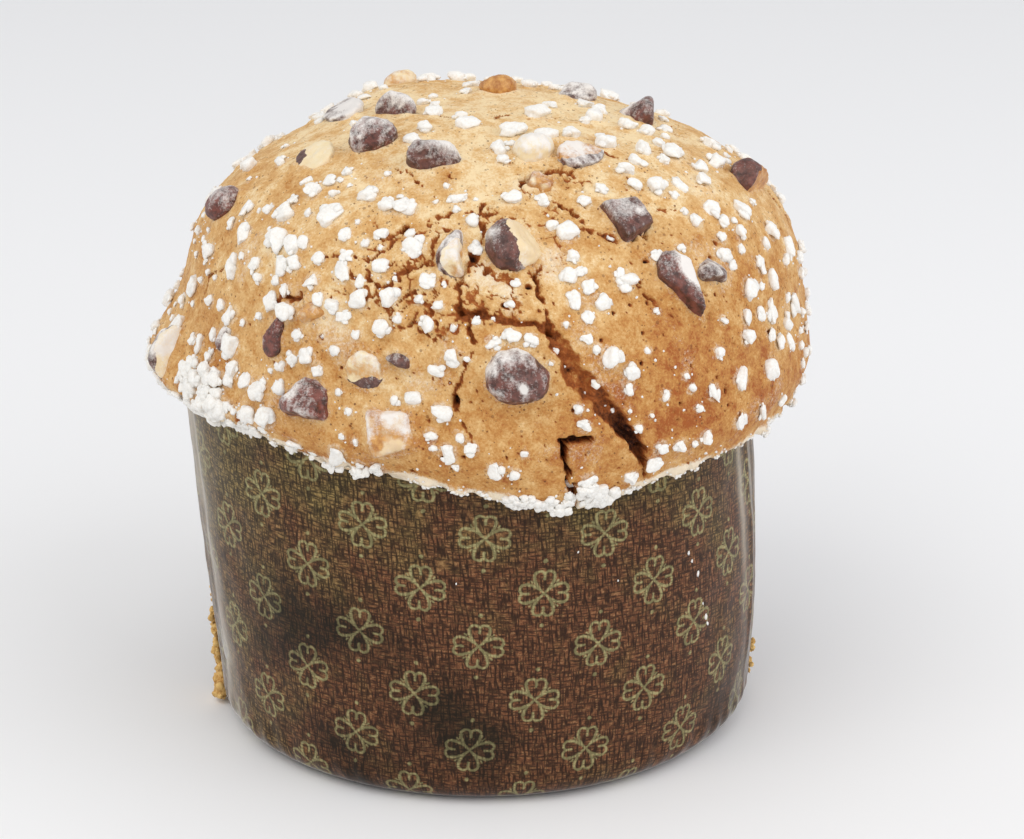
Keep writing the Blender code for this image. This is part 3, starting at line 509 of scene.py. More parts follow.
def crust_relief(points, azimuth, elevation):
    """Height of the crust off its even form, with its crack, dust and toast looks. The crack look also
    holds painted shade in deep cracks, pores and holes, and the toast look painted shade low on the
    front right.
    """
    turn = (azimuth + 180) % 360 - 180
    wander = np.stack([0.9 * ripple(points, 2.8, 20 + axis) + 0.6 * ripple(points, 1.1, 30 + axis)
                       for axis in range(3)], -1)
    cracked_and_shade = np.zeros(points.shape[:-1])
    height = 0.5 * roughness(points, 15.0, 40, 2) + 0.2 * roughness(points, 4.5, 44)

    # Plates of glaze, drawn apart by fine cracks where the crown rose most, and rougher there.
    centre = np.exp(-(((turn - 2) / 24) ** 2) - ((elevation - 30) / 12) ** 2)
    centre = centre + 0.5 * np.exp(-(((turn + 30) / 22) ** 2) - ((elevation - 24) / 12) ** 2)
    centre = centre + 0.6 * np.exp(-(((turn - 25) / 30) ** 2) - ((elevation - 48) / 10) ** 2)
    far = 0.45 * np.exp(-(((elevation - 38) / 20) ** 2)) * smooth_step(60, 110, np.abs(turn))
    broken = np.clip(centre + far + 0.3 * ripple(points, 20.0, 60), 0, 1)
    height += (0.04 + 0.2 * broken) * roughness(points, 1.3, 50, 2)
    first, second, own = cell_edges(points + 1.9 * wander, 8.0, 70)
    line = 1 - smooth_step(0.04, 0.38, (second - first) / 2)
    line = line * smooth_step(0.4, 0.9, broken + 0.6 * ripple(points, 6.0, 75))
    height += 0.2 * own * broken - 0.75 * line
    cracked_and_shade = np.maximum(cracked_and_shade, 0.55 * line)

    # Pores of burst bubbles, densest low on the front, coloured dark inside, partly as painted shade.
    pored = np.exp(-(((turn - 25) / 60) ** 2) - ((elevation - 8) / 26) ** 2)
    for size, radius, seed in ((3.2, 0.5, 100), (1.7, 0.27, 110)):
        first, _, own = cell_edges(points + 0.3 * wander, size, seed)
        bore = radius * np.clip(own - 0.05 + 0.6 * pored + 0.3 * broken, 0, 1.3)
        pore = (1 - smooth_step(0.5, 1.0, first / np.maximum(bore, 1e-3))) * (bore > 0.11)
        height -= 1.7 * radius * pore
        cracked_and_shade = np.maximum(cracked_and_shade, 0.8 * pore)

    # The listed cracks, their floors torn and crumbly.
    glow = np.zeros(points.shape[:-1])
    for path in CRACKS:
        share, depth = path_depth(points, path, wander)
        torn = 1 + 0.35 * ripple(points, 2.4, 120) + 0.25 * ripple(points, 0.9, 121)
        height -= depth * torn * share
        # Crack floors are coloured darker the deeper they lie: partly toasted glaze, partly painted shade.
        darkness = np.where(depth > 2.1, 0.08 + 0.18 * depth, 0.5 + 0.06 * depth)
        darkness = darkness + 0.2 * ripple(points, 1.3, 122) * (depth > 2.1) * (depth < 3.5)
        cracked_and_shade = np.maximum(cracked_and_shade, smooth_step(0.0, 0.4, share) * np.clip(darkness, 0.3, 1))
        height += 0.3 * smooth_step(0.0, 0.12, share) * (1 - smooth_step(0.12, 0.4, share))
        glow = np.maximum(glow, smooth_step(0.0, 0.2, share))
    for hole_azimuth, hole_elevation, radius in HOLES:
        away = np.linalg.norm(points + 0.5 * wander - crust_place(hole_azimuth, hole_elevation), axis=-1)
        share = 1 - smooth_step(0.6 * radius, 1.1 * radius, away)
        height -= 1.8 * radius * share
        # Holes are coloured nearly as dark as the deepest crack floors, partly as painted shade.
        cracked_and_shade = np.maximum(cracked_and_shade, 0.95 * share)

    patches = smooth_step(-0.1, 0.9, ripple(points, 8.0, 140) + 0.4 * ripple(points, 3.0, 141))
    dusted = (0.2 + 0.22 * broken) * patches
    above_edge = points[..., 2] - rim_level(azimuth)
    coated = sum(hump(azimuth, place, reach) for place, reach in RIM_SUGAR)
    coated = np.clip(coated, 0, 1) * np.exp(-((above_edge / (1.3 + 0.8 * ripple(points, 4.0, 142))) ** 2))
    height += 0.6 * coated * (0.6 + roughness(points, 1.5, 143, 2))
    dusted = np.maximum(dusted, 1.3 * coated)
    for shape in nut_shapes().values():
        near = np.linalg.norm(points - shape[0], axis=-1) < 14
        out = off_nut(points[near], shape)
        swell = np.exp(-((np.maximum(out, 0) / 1.2) ** 2))
        height[near] += 0.55 * swell * (1 + ripple(points[near], 3.0, 130))
        dusted[near] = np.maximum(dusted[near], 0.22 * swell)
        cracked_and_shade[near] *= np.maximum(smooth_step(0.1, 1.2, out), 0.35)
    toast_and_painted_light = 0.42 + 0.22 * roughness(points, 9.0, 200) + 0.1 * ripple(points, 1.6, 204) - 0.1 * broken
    toast_and_painted_light += 0.24 * np.exp(-((elevation + 4) / 12) ** 2) + 0.1 * glow
    # Darker low on the front right: painted shade on the side turned from the light.
    toast_and_painted_light += 0.42 * np.exp(-(((turn - 40) / 24) ** 2) - ((elevation - 8) / 15) ** 2)
    toast_and_painted_light += 0.32 * ripple(points, 6.0, 206) * smooth_step(35, 58, elevation)
    toast_and_painted_light -= 0.25 * np.exp(-(((turn - 20) / 4) ** 2) - ((elevation + 7) / 6) ** 2)
    return height, cracked_and_shade, dusted, toast_and_painted_light


def near_lumps(points, azimuth, elevation, height, dusted):
    """Raise a low collar of glaze round each lump of sugar, and dust it."""
    for lump_azimuth, lump_elevation, wide, tall in sugar_places():
        radius = (wide + tall) / 4
        turn = (azimuth[0] - lump_azimuth + 180) % 360 - 180
        spread = 3.2 + radius
        columns = np.nonzero(np.abs(turn) * math.cos(math.radians(max(lump_elevation, 0)))
                             < math.degrees(spread / CROWN_RADIUS))[0]
        rows = np.nonzero(np.abs(elevation[:, 0] - lump_elevation) < math.degrees(spread / CROWN_HEIGHT))[0]
        if not len(rows) or not len(columns):
            continue
        window = np.ix_(rows, columns)
        place = crust_place(lump_azimuth, lump_elevation)
        out = np.linalg.norm(points[window] - place, axis=-1) - radius
        collar = np.exp(-((np.maximum(out, 0) / 0.7) ** 2))
        height[window] += 0.3 * collar
        dusted[window] = np.maximum(dusted[window], 0.28 * collar)


def outward_normals(points):
    """Outward directions of a grid of points whose columns run round the axis."""
    down = np.gradient(points, axis=0)
    ahead = np.roll(points, -1, axis=1) - np.roll(points, 1, axis=1)
    normals = np.cross(down, ahead)
    lengths = np.linalg.norm(normals, axis=-1, keepdims=True)
    return np.where(lengths > 1e-9, normals / np.maximum(lengths, 1e-9), (0, 0, 1))


@functools.cache
def crust_grid():
    """The crust's outside as a fine grid: azimuths, elevations, points, normals and its looks."""
    fine = 1.0
    front = np.arange(-112, 112, 0.32 * fine)
    back = np.arange(112, 248, 0.62 * fine)
    azimuths = np.concatenate((front, back))
    crown = np.linspace(90, 0, int(290 / fine))
    shares = np.linspace(0, 1, int(34 / fine))[1:]
    azimuth, elevation = np.meshgrid(azimuths, crown)
    upper = crown_point(azimuth, elevation)
    azimuth_low, share = np.meshgrid(azimuths, shares)
    edge = ragged_edge(azimuths)[None]
    lower = rim_point(azimuth_low, share, edge)
    points = np.concatenate((upper, lower))
    azimuth = np.concatenate((azimuth, azimuth_low))
    low = -np.degrees(np.arctan(share * (CROWN_LEVEL - rim_level(azimuth_low)) / CROWN_RADIUS))
    elevation = np.concatenate((elevation, low))
    normals = outward_normals(points)
    height, cracked_and_shade, dusted, toast_and_painted_light = crust_relief(points, azimuth, elevation)
    near_lumps(points, azimuth, elevation, height, dusted)
    moved = points + normals * height[..., None]
    moved[0] = moved[0].mean(0)
    return azimuth, elevation, moved, normals, cracked_and_shade, dusted, toast_and_painted_light


def on_crust(azimuth, elevation):
    """The crust's finished point and outward direction nearest an azimuth and elevation."""
    azimuths, elevations, moved, normals = crust_grid()[:4]
    column = int(np.argmin(np.abs((azimuths[0] - azimuth + 180) % 360 - 180)))
    row = int(np.argmin(np.abs(elevations[:, column] - elevation)))
    return moved[row, column], normals[row, column]


# ---------------------------------------------------------------- meshes


def grid_triangles(rows, columns):
    """Triangles between the rows of a grid whose columns run round the axis."""
    row, column = np.meshgrid(np.arange(rows - 1), np.arange(columns), indexing="ij")
    here = (row * columns + column).ravel()
    there = (row * columns + (column + 1) % columns).ravel()
    return np.concatenate((np.stack((here, here + columns, there + columns), -1),
                           np.stack((here, there + columns, there), -1)))


def closed_grid(grid):
    """Points and triangles of a grid closed by a point at each end."""
    rows, columns = grid.shape[:2]
    points = np.concatenate((grid.reshape(-1, 3), [grid[0].mean(0)], [grid[-1].mean(0)]))
    first = np.arange(columns)
    following = (first + 1) % columns
    top = np.stack((np.full(columns, rows * columns), first, following), -1)
    last = (rows - 1) * columns
    base = np.stack((np.full(columns, rows * columns + 1), last + following, last + first), -1)
    return points, np.concatenate((grid_triangles(rows, columns), top, base))


def make_piece(name, points, triangles, material, looks=None, smooth=True):
    """A mesh object from points in millimetres, with a number per point for each named look."""
    mesh = bpy.data.meshes.new(name)
    mesh.vertices.add(len(points))
    mesh.vertices.foreach_set("co", (points * MM).astype(np.float32).ravel())
    mesh.loops.add(triangles.size)
    mesh.loops.foreach_set("vertex_index", triangles.astype(np.int32).ravel())
    mesh.polygons.add(len(triangles))
    mesh.polygons.foreach_set("loop_start", np.arange(0, triangles.size, 3, dtype=np.int32))
    mesh.update(calc_edges=True)
    for look, values in (looks or {}).items():
        layer = mesh.attributes.new(look, "FLOAT", "POINT")
        layer.data.foreach_set("value", values.astype(np.float32).ravel())
    mesh.materials.append(material)
    if smooth:
        mesh.shade_smooth()
    piece = bpy.data.objects.new(name, mesh)
    bpy.context.scene.collection.objects.link(piece)
    return piece


def apply_modifiers(piece):
    """Turn a piece's modifiers into plain mesh."""
    bpy.context.view_layer.update()
    evaluated = piece.evaluated_get(bpy.context.evaluated_depsgraph_get())
    mesh = bpy.data.meshes.new_from_object(evaluated)
    piece.modifiers.clear()
    old = piece.data
    piece.data = mesh
    bpy.data.meshes.remove(old)


def thin_out(piece, triangles):
    """Merge triangles where a surface is smooth until few enough are left."""
    count = len(piece.data.polygons)
    if count > triangles:
        fewer = piece.modifiers.new("fewer", "DECIMATE")
        fewer.ratio = triangles / count
        apply_modifiers(piece)
    piece.data.shade_smooth()


@functools.cache
def ball(subdivisions):
    """Points and triangles of a round ball of radius 1."""
    bm = bmesh.new()
    bmesh.ops.create_icosphere(bm, subdivisions=subdivisions, radius=1.0)
    bm.verts.ensure_lookup_table()
    points = np.array([vert.co for vert in bm.verts])
    triangles = np.array([[vert.index for vert in face.verts] for face in bm.faces])
    bm.free()
    return points, triangles


def lump_meshes(subdivisions, centres, outward, sizes, seed, squareness, grain):
    """Many irregular lumps at once: balls squared off, cut by planes, roughened and turned."""
    draw = np.random.default_rng(seed)
    round_points, triangles = ball(subdivisions)
    count = len(centres)
    points = np.repeat(round_points[None], count, 0)
    points = points / (np.abs(points) ** squareness).sum(-1, keepdims=True) ** (1 / squareness)
    for _ in range(5):
        way = draw.normal(size=(count, 3))
        way /= np.linalg.norm(way, axis=1, keepdims=True)
        over = np.einsum("nij,nj->ni", points, way) - draw.uniform(0.5, 0.95, (count, 1))
        points -= np.maximum(over, 0)[..., None] * way[:, None]
    shift = draw.uniform(-900, 900, (count, 1, 3))
    points *= 1 + 0.22 * ripple(points + shift, 0.75, seed)[..., None]
    points *= 1 + grain * ripple(points + shift, 0.3, seed + 1)[..., None]
    points *= sizes[:, None] / 2
    spin = np.radians(draw.uniform(-28, 28, count))
    level = np.stack((-outward[:, 1], outward[:, 0], np.zeros(count)), -1)
    level /= np.maximum(np.linalg.norm(level, axis=1, keepdims=True), 1e-6)
    up = np.cross(outward, level)
    wide = level * np.cos(spin)[:, None] + up * np.sin(spin)[:, None]
    tall = np.cross(outward, wide)
    axes = np.stack((wide, tall, outward), 1)
    points = centres[:, None] + points @ axes
    faces = triangles[None] + (np.arange(count) * len(round_points))[:, None, None]
    return points.reshape(-1, 3), faces.reshape(-1, 3)


def joined(*meshes):
    """Several sets of points and triangles as one."""
    points, triangles, count = [], [], 0
    for part_points, part_triangles in meshes:
        points.append(part_points)
        triangles.append(part_triangles + count)
        count += len(part_points)
    return np.concatenate(points), np.concatenate(triangles)


# ---------------------------------------------------------------- materials


def linear(colour):
    """An sRGB hex colour as linear red, green, blue and alpha."""
    parts = [int(colour[place:place + 2], 16) / 255 for place in (1, 3, 5)]
    return (*[part / 12.92 if part <= 0.04045 else ((part + 0.055) / 1.055) ** 2.4 for part in parts], 1.0)


def add_node(tree, made, name, kind, output, inputs, settings):
    """Add a shader node with its settings and inputs, and keep one of its outputs under a name."""
    node = tree.nodes.new("ShaderNode" + kind)
    for setting, value in settings.items():
        if setting != "stops":
            setattr(node, setting, value)
    for index, (position, colour) in enumerate(settings.get("stops", ())):
        elements = node.color_ramp.elements
        stop = elements[index] if index < 2 else elements.new(position)
        stop.position = position
        stop.color = linear(colour)
    set_inputs(tree, node, made, inputs)
    made[name] = node.outputs[output]


def set_inputs(tree, node, made, inputs):
    """Give each input the output kept under a name, an sRGB hex colour or a plain value."""
    for place, value in inputs.items():
        if value in made:
            tree.links.new(made[value], node.inputs[place])
        else:
            node.inputs[place].default_value = linear(value) if isinstance(value, str) else value


def make_material(name, rows, inputs):
    """A material whose nodes are given by rows, in order, with the inputs of its shader."""
    material = bpy.data.materials.new(name)
    material.use_nodes = True
    tree = material.node_tree
    made = {}
    for row in rows:
        add_node(tree, made, *row)
    set_inputs(tree, tree.nodes["Principled BSDF"], made, inputs)
    return material


def crust_material(settings):
    """Baked nut glaze: egg white, sugar and ground hazelnut, spread thin and dried in the oven.

    It dries matte, tan and sandy, with specks of nut skin and a film of sugar dust. It is darker in
    pores, holes and cracks: there the colour is partly toasted glaze and partly painted shade, deeper
    where they are deeper.
    """
    rows = [("place", "TexCoord", "Object", {}, {})]
    rows += [(name, "Attribute", "Fac", {}, {"attribute_name": name})
             for name in ("cracked_and_shade", "dusted", "toast_and_painted_light")]
    rows += [(name, "TexNoise", "Fac", {"Vector": "place", "Scale": 1 / (size * MM), "Detail": detail,
                                        "Roughness": uneven}, {})
             for name, size, detail, uneven in (
                 ("mottle", 3.2, 3.0, 0.6), ("sand", 0.62, 3.0, 0.7), ("film", 0.8, 4.0, 0.8),
                 ("grit", 0.6, 3.0, 0.7), ("frayed", 0.8, 3.0, 0.7))]
    rows += [(name + output, "TexVoronoi", output, {"Vector": "place", "Scale": 1 / (size * MM)}, {})
             for name, size in (("pit", 0.95), ("speck", 1.35)) for output in ("Distance", "Color")]
    # The toast look carries painted shade low on the front right and painted light on the paler top.
    rows += [(name, "Math", 0, dict(enumerate(inputs)), {"operation": operation})
             for name, operation, *inputs in (
        ("browned", "MULTIPLY_ADD", "toast_and_painted_light", 0.62, -0.49),
        ("mottled", "MULTIPLY_ADD", "mottle", 0.75, "browned"),
        ("tone", "MULTIPLY_ADD", "sand", 0.7, "mottled"),
        ("pit_size", "MULTIPLY_ADD", "pitColor", 0.9, -0.53),
        ("pitted", "LESS_THAN", "pitDistance", "pit_size"),
        ("pits", "MULTIPLY", "pitted", 0.78),
        ("speck_size", "MULTIPLY_ADD", "speckColor", 0.9, -0.5),
        ("spotted", "LESS_THAN", "speckDistance", "speck_size"),
        ("spot", "MULTIPLY", "spotted", 0.5),
        ("fray", "MULTIPLY_ADD", "frayed", 0.9, -0.45),
        ("worn", "ADD", "cracked_and_shade", "fray"),
        ("filmed", "ADD", "film", "dusted"),
        ("rough", "MULTIPLY_ADD", "sand", -1.1, "grit"),
        ("relief", "MULTIPLY_ADD", "pits", -1.2, "rough"))]
    rows += [
        ("edge", "MapRange", 0, {"Value": "worn", "From Min": 0.2, "From Max": 0.32}, {}),
        ("powdered", "MapRange", 0, {"Value": "filmed", "From Min": 0.68, "From Max": 1.0, "To Max": 0.85}, {}),
        ("glaze", "ValToRGB", "Color", {"Fac": "tone"}, {"stops": [
            (0.18, settings.pale), (0.42, settings.tan), (0.66, settings.golden), (0.92, settings.crack)]}),
        # Inside cracks, pores and holes the colour runs to the dark floor colour, partly painted shade.
        ("inside", "ValToRGB", "Color", {"Fac": "worn"}, {"stops": [
            (0.2, settings.golden), (0.48, settings.crack), (0.92, settings.deep)]})]
    rows += [(name, "Mix", 2, {0: share, 6: under, 7: over}, {"data_type": "RGBA"})
             for name, share, under, over in (
        ("pitted_glaze", "pits", "glaze", settings.speck),
        ("specked_glaze", "spot", "pitted_glaze", settings.speck),
        ("dusty_glaze", "powdered", "specked_glaze", settings.powder),
        ("colour", "edge", "dusty_glaze", "inside"))]
    rows += [("bump", "Bump", 0, {"Height": "relief", "Strength": 0.65, "Distance": 0.4 * MM}, {})]
    return make_material("baked_nut_glaze", rows, {"Base Color": "colour", "Normal": "bump", "Roughness": 0.66,
                                                   "IOR": 1.46, "Specular IOR Level": 0.3})


def sugar_material(settings):
    """Pearl sugar: crystals pressed into lumps. Light scatters in it, so it is white and matte."""
    return make_material("pressed_pearl_sugar", [
        ("place", "TexCoord", "Object", {}, {}),
        ("grain", "TexNoise", "Fac", {"Vector": "place", "Scale": 1 / (0.6 * MM), "Detail": 3.0}, {}),
        ("colour", "ValToRGB", "Color", {"Fac": "grain"}, {"stops": [
            (0.3, settings.shade), (0.62, settings.white)]}),
        ("bump", "Bump", 0, {"Height": "grain", "Strength": 0.4, "Distance": 0.15 * MM}, {}),
    ], {"Base Color": "colour", "Normal": "bump", "Roughness": 0.55, "IOR": 1.54, "Specular IOR Level": 0.4,
        "Subsurface Weight": 0.15, "Subsurface Radius": (1.0, 0.95, 0.9), "Subsurface Scale": 0.8 * MM})


def nut_material(settings):
    """Roasted hazelnut: a papery ribbed skin over dense cream flesh that breaks with a waxy face."""
    rows = [("place", "TexCoord", "Object", {}, {})]
    rows += [(name, "Attribute", "Fac", {}, {"attribute_name": name}) for name in ("bare", "toast", "red", "dust")]
    rows += [(name, "TexNoise", "Fac", {"Vector": "place", "Scale": 1 / (size * MM), "Detail": detail,
                                        "Roughness": uneven}, {})
             for name, size, detail, uneven in (
                 ("mottle", 1.8, 5.0, 0.65), ("film", 0.55, 4.0, 0.8), ("ribs", 0.7, 3.0, 0.5))]
    rows += [
        ("bared", "Math", 0, {0: "mottle", 1: "bare"}, {"operation": "ADD"}),
        ("edge", "MapRange", 0, {"Value": "bared", "From Min": 0.94, "From Max": 1.04}, {}),
        ("toasting", "Math", 0, {0: "mottle", 1: "toast"}, {"operation": "ADD"}),
        ("browned", "MapRange", 0, {"Value": "toasting", "From Min": 0.72, "From Max": 1.0}, {}),
        ("filmed", "Math", 0, {0: "film", 1: "dust"}, {"operation": "ADD"}),
        ("powdered", "MapRange", 0, {"Value": "filmed", "From Min": 0.68, "From Max": 1.15, "To Max": 0.92}, {})]
    rows += [(name, "ValToRGB", "Color", {"Fac": "mottle"}, {"stops": [(low, dark), (high, light)]})
             for name, low, dark, high, light in (
                 ("plain_skin", 0.38, settings.skin_dark, 0.62, settings.skin),
                 ("red_skin", 0.38, settings.skin_dark, 0.6, settings.skin_red),
                 ("roasted", 0.35, settings.roast_dark, 0.65, settings.roast))]
    rows += [(name, "Mix", 2, {0: share, 6: under, 7: over}, {"data_type": "RGBA"})
             for name, share, under, over in (
        ("skin", "red", "plain_skin", "red_skin"),
        ("cut", "red", settings.flesh, settings.flesh_pink),
        ("shaded_cut", "mottle", settings.flesh_shade, "cut"),
        ("flesh", "browned", "shaded_cut", "roasted"),
        ("clean", "edge", "skin", "flesh"),
        ("colour", "powdered", "clean", settings.powder))]
    rows += [("bump", "Bump", 0, {"Height": "ribs", "Strength": 0.5, "Distance": 0.22 * MM}, {})]
    return make_material("roasted_hazelnut", rows, {"Base Color": "colour", "Normal": "bump", "Roughness": 0.42,
                                                    "IOR": 1.47})


def crumb_material(settings):
    """Crumb of a butter-rich dough, torn off: golden, soft and matte, with open pores."""
    return make_material("butter_crumb", [
        ("place", "TexCoord", "Object", {}, {}),
        ("patch", "TexNoise", "Fac", {"Vector": "place", "Scale": 1 / (1.6 * MM), "Detail": 3.0}, {}),
        ("colour", "ValToRGB", "Color", {"Fac": "patch"}, {"stops": [
            (0.35, settings.crumb_dark), (0.6, settings.crumb)]}),
        ("bump", "Bump", 0, {"Height": "patch", "Strength": 0.6, "Distance": 0.5 * MM}, {}),
    ], {"Base Color": "colour", "Normal": "bump", "Roughness": 0.85})


def paper_material(settings):
    """Greaseproof baking paper, printed dark and calendered to a satin face.

    The print is a woven ground of crossing threads with an olive-gold flower of four hearts, in
    half-drop rows. Butter has soaked through in darker, greener patches. The pale bands along its
    folds, its seam and both edges are painted sheen and highlights, in part paper rubbed pale.
    """
    period, half = settings.flower_period, settings.flower_period / 2
    lobe_along, lobe_beside, lobe = settings.lobe_along, settings.lobe_beside, settings.lobe_radius
    rows = [("print", "UVMap", "UV", {}, {"uv_map": "print"})]
    rows += [(name, "SeparateXYZ", part, {"Vector": "print"}, {})
             for name, part in (("across", "X"), ("upward", "Y"))]
    rows += [(name, "Attribute", "Fac", {}, {"attribute_name": name}) for name in ("stained", "olive", "rubbed_and_sheen")]
    rows += [(name, "TexNoise", "Fac", {"Vector": "print", "Scale": 1 / size, "Detail": detail, "Roughness": uneven},
              {"noise_dimensions": "2D"})
             for name, size, detail, uneven in (
                 ("wobble", 0.7, 2.0, 0.5), ("woven", 1.1, 3.0, 0.75), ("patch", 15.0, 4.0, 0.6))]
    steps = [
        # The nearest flower of two crossed grids, one period apart both ways.
        ("wrapped_x", "WRAP", "across", period, 0.0), ("wrapped_y", "WRAP", "upward", period, 0.0),
        ("first_x", "SUBTRACT", "wrapped_x", half), ("first_y", "SUBTRACT", "wrapped_y", half),
        ("far_x", "ABSOLUTE", "first_x"), ("far_y", "ABSOLUTE", "first_y"),
        ("reach", "ADD", "far_x", "far_y"), ("outer", "GREATER_THAN", "reach", half),
        ("step", "MULTIPLY", "outer", half),
        ("near_x", "SUBTRACT", "far_x", "step"), ("near_y", "SUBTRACT", "far_y", "step"),
        ("x", "ABSOLUTE", "near_x"), ("y", "ABSOLUTE", "near_y"),
        ("along", "MAXIMUM", "x", "y"), ("beside", "MINIMUM", "x", "y"),
        # One heart petal, its tip at the flower's centre: sides that swell, then a round lobe.
        ("short", "MULTIPLY_ADD", "along", -1 / lobe_along, 1.0), ("short_squared", "MULTIPLY", "short", "short"),
        ("wide", "MULTIPLY_ADD", "short_squared", -(lobe_beside + lobe), lobe_beside + lobe),
        ("off_side", "SUBTRACT", "wide", "beside"), ("side", "MULTIPLY", "off_side", 0.8),
        ("lobe_x", "SUBTRACT", "along", lobe_along), ("lobe_y", "SUBTRACT", "beside", lobe_beside),
        ("lobe_x_squared", "MULTIPLY", "lobe_x", "lobe_x"),
        ("lobe_squared", "MULTIPLY_ADD", "lobe_y", "lobe_y", "lobe_x_squared"),
        ("from_lobe", "SQRT", "lobe_squared"), ("round", "SUBTRACT", "from_lobe", lobe),
        ("past", "GREATER_THAN", "along", lobe_along), ("before", "SUBTRACT", 1.0, "past"),
        ("side_part", "MULTIPLY", "side", "before"), ("outline_way", "MULTIPLY_ADD", "round", "past", "side_part"),
        ("outline", "ABSOLUTE", "outline_way"),
        # The stroke that hangs from each notch.
        ("notch_low", "MAXIMUM", "along", lobe_along - 0.8),
        ("notch_place", "MINIMUM", "notch_low", lobe_along + 0.5),
        ("notch_off", "SUBTRACT", "along", "notch_place"),
        ("notch_off_squared", "MULTIPLY", "notch_off", "notch_off"),
        ("notch_squared", "MULTIPLY_ADD", "beside", "beside", "notch_off_squared"),
        ("notch", "SQRT", "notch_squared"),
        # The tick between each two petals.
        ("tick_across", "SUBTRACT", "along", "beside"), ("tick_sum", "ADD", "along", "beside"),
        ("tick_aside", "MULTIPLY", "tick_across", 0.7071), ("tick_along", "MULTIPLY", "tick_sum", 0.7071),
        ("tick_low", "MAXIMUM", "tick_along", 4.0), ("tick_place", "MINIMUM", "tick_low", 4.6),
        ("tick_off", "SUBTRACT", "tick_along", "tick_place"),
        ("tick_off_squared", "MULTIPLY", "tick_off", "tick_off"),
        ("tick_squared", "MULTIPLY_ADD", "tick_aside", "tick_aside", "tick_off_squared"),
        ("tick_away", "SQRT", "tick_squared"), ("tick", "ADD", "tick_away", 0.12),
        # The dot over each flower, and all its marks together.
        ("dot_y", "SUBTRACT", "y", 8.2), ("dot_y_squared", "MULTIPLY", "dot_y", "dot_y"),
        ("dot_squared", "MULTIPLY_ADD", "x", "x", "dot_y_squared"), ("dot_away", "SQRT", "dot_squared"),
        ("dot", "SUBTRACT", "dot_away", 0.2),
        ("petals", "MINIMUM", "outline", "notch"), ("marks", "MINIMUM", "tick", "dot"),
        ("drawn", "MINIMUM", "petals", "marks"),
        ("shake", "MULTIPLY_ADD", "wobble", 0.45, -0.22), ("shaky", "ADD", "drawn", "shake"),
        # Threads: noise drawn out along each way, so that dark yarns cross over lighter ones.
        ("level_x", "MULTIPLY_ADD", "upward", -settings.print_slant, "across")]
    for way, first, second, long in (("warp", "level_x", "upward", 8.0), ("weft", "upward", "level_x", 6.5)):
        steps += [(way + "_x", "DIVIDE", first, settings.thread),
                  (way + "_y", "DIVIDE", second, settings.thread * long)]
    rows += [(name, "Math", 0, dict(enumerate(inputs)), {"operation": operation})
             for name, operation, *inputs in steps]
    for way in ("warp", "weft"):
        rows += [
            (way + "_place", "CombineXYZ", 0, {"X": way + "_x", "Y": way + "_y", "Z": 0.0}, {}),
            (way + "_yarn", "TexNoise", "Fac", {"Vector": way + "_place", "Scale": 1.0, "Detail": 1.0}, {}),
            (way, "MapRange", 0, {"Value": way + "_yarn", "From Min": 0.55, "From Max": 0.42}, {})]
    rows += [("inked", "MapRange", 0, {"Value": "shaky", "From Min": settings.line_width,
                                       "From Max": settings.line_width * 0.35}, {})]
    rows += [(name, "Math", 0, dict(enumerate(inputs)), {"operation": operation})
             for name, operation, *inputs in (
        ("fainter_weft", "MULTIPLY", "weft", 0.9), ("crossed", "MAXIMUM", "warp", "fainter_weft"),
        ("shadowed", "MULTIPLY", "crossed", 0.8),
        ("greener_patch", "MULTIPLY_ADD", "patch", 1.8, -0.9), ("green_sum", "ADD", "olive", "greener_patch"),
        ("soak", "MULTIPLY", "stained", 0.72), ("ink_left", "MULTIPLY_ADD", "stained", -0.3, 0.76),
        ("strength", "MULTIPLY", "inked", "ink_left"))]
    rows += [
        ("greener", "MapRange", 0, {"Value": "green_sum", "From Min": 0.1, "From Max": 0.9}, {}),
        ("brown", "ValToRGB", "Color", {"Fac": "woven"}, {"stops": [
            (0.34, settings.brown), (0.52, settings.rust), (0.68, settings.tan)]}),
        ("moss", "ValToRGB", "Color", {"Fac": "woven"}, {"stops": [(0.36, settings.moss), (0.62, settings.ochre)]})]
    rows += [(name, "Mix", 2, {0: share, 6: under, 7: over}, {"data_type": "RGBA"})
             for name, share, under, over in (
        ("ground", "greener", "brown", "moss"),
        ("threads", "shadowed", "ground", settings.black),
        ("soaked", "soak", "threads", settings.stain),
        ("ink", "shadowed", settings.gold, settings.gold_dark),
        ("printed", "strength", "soaked", "ink"),
        # The pale bands at the folds, seam and edges: painted sheen and highlights, in part rubbed paper.
        ("colour", "rubbed_and_sheen", "printed", settings.rubbed_and_sheen))]
    rows += [("bump", "Bump", 0, {"Height": "crossed", "Strength": 0.1, "Distance": 0.1 * MM}, {})]
    return make_material("printed_baking_paper", rows, {"Base Color": "colour", "Normal": "bump", "Roughness": 0.42,
                                                        "IOR": 1.5, "Specular IOR Level": 0.14,
                                                        "Sheen Weight": 0.7, "Sheen Roughness": 0.22})


def floor_material(settings):
    """Painted board: an even pale matte sweep."""
    return make_material("pale_painted_board", [], {"Base Color": settings.floor, "Roughness": 0.7})


# ---------------------------------------------------------------- pieces


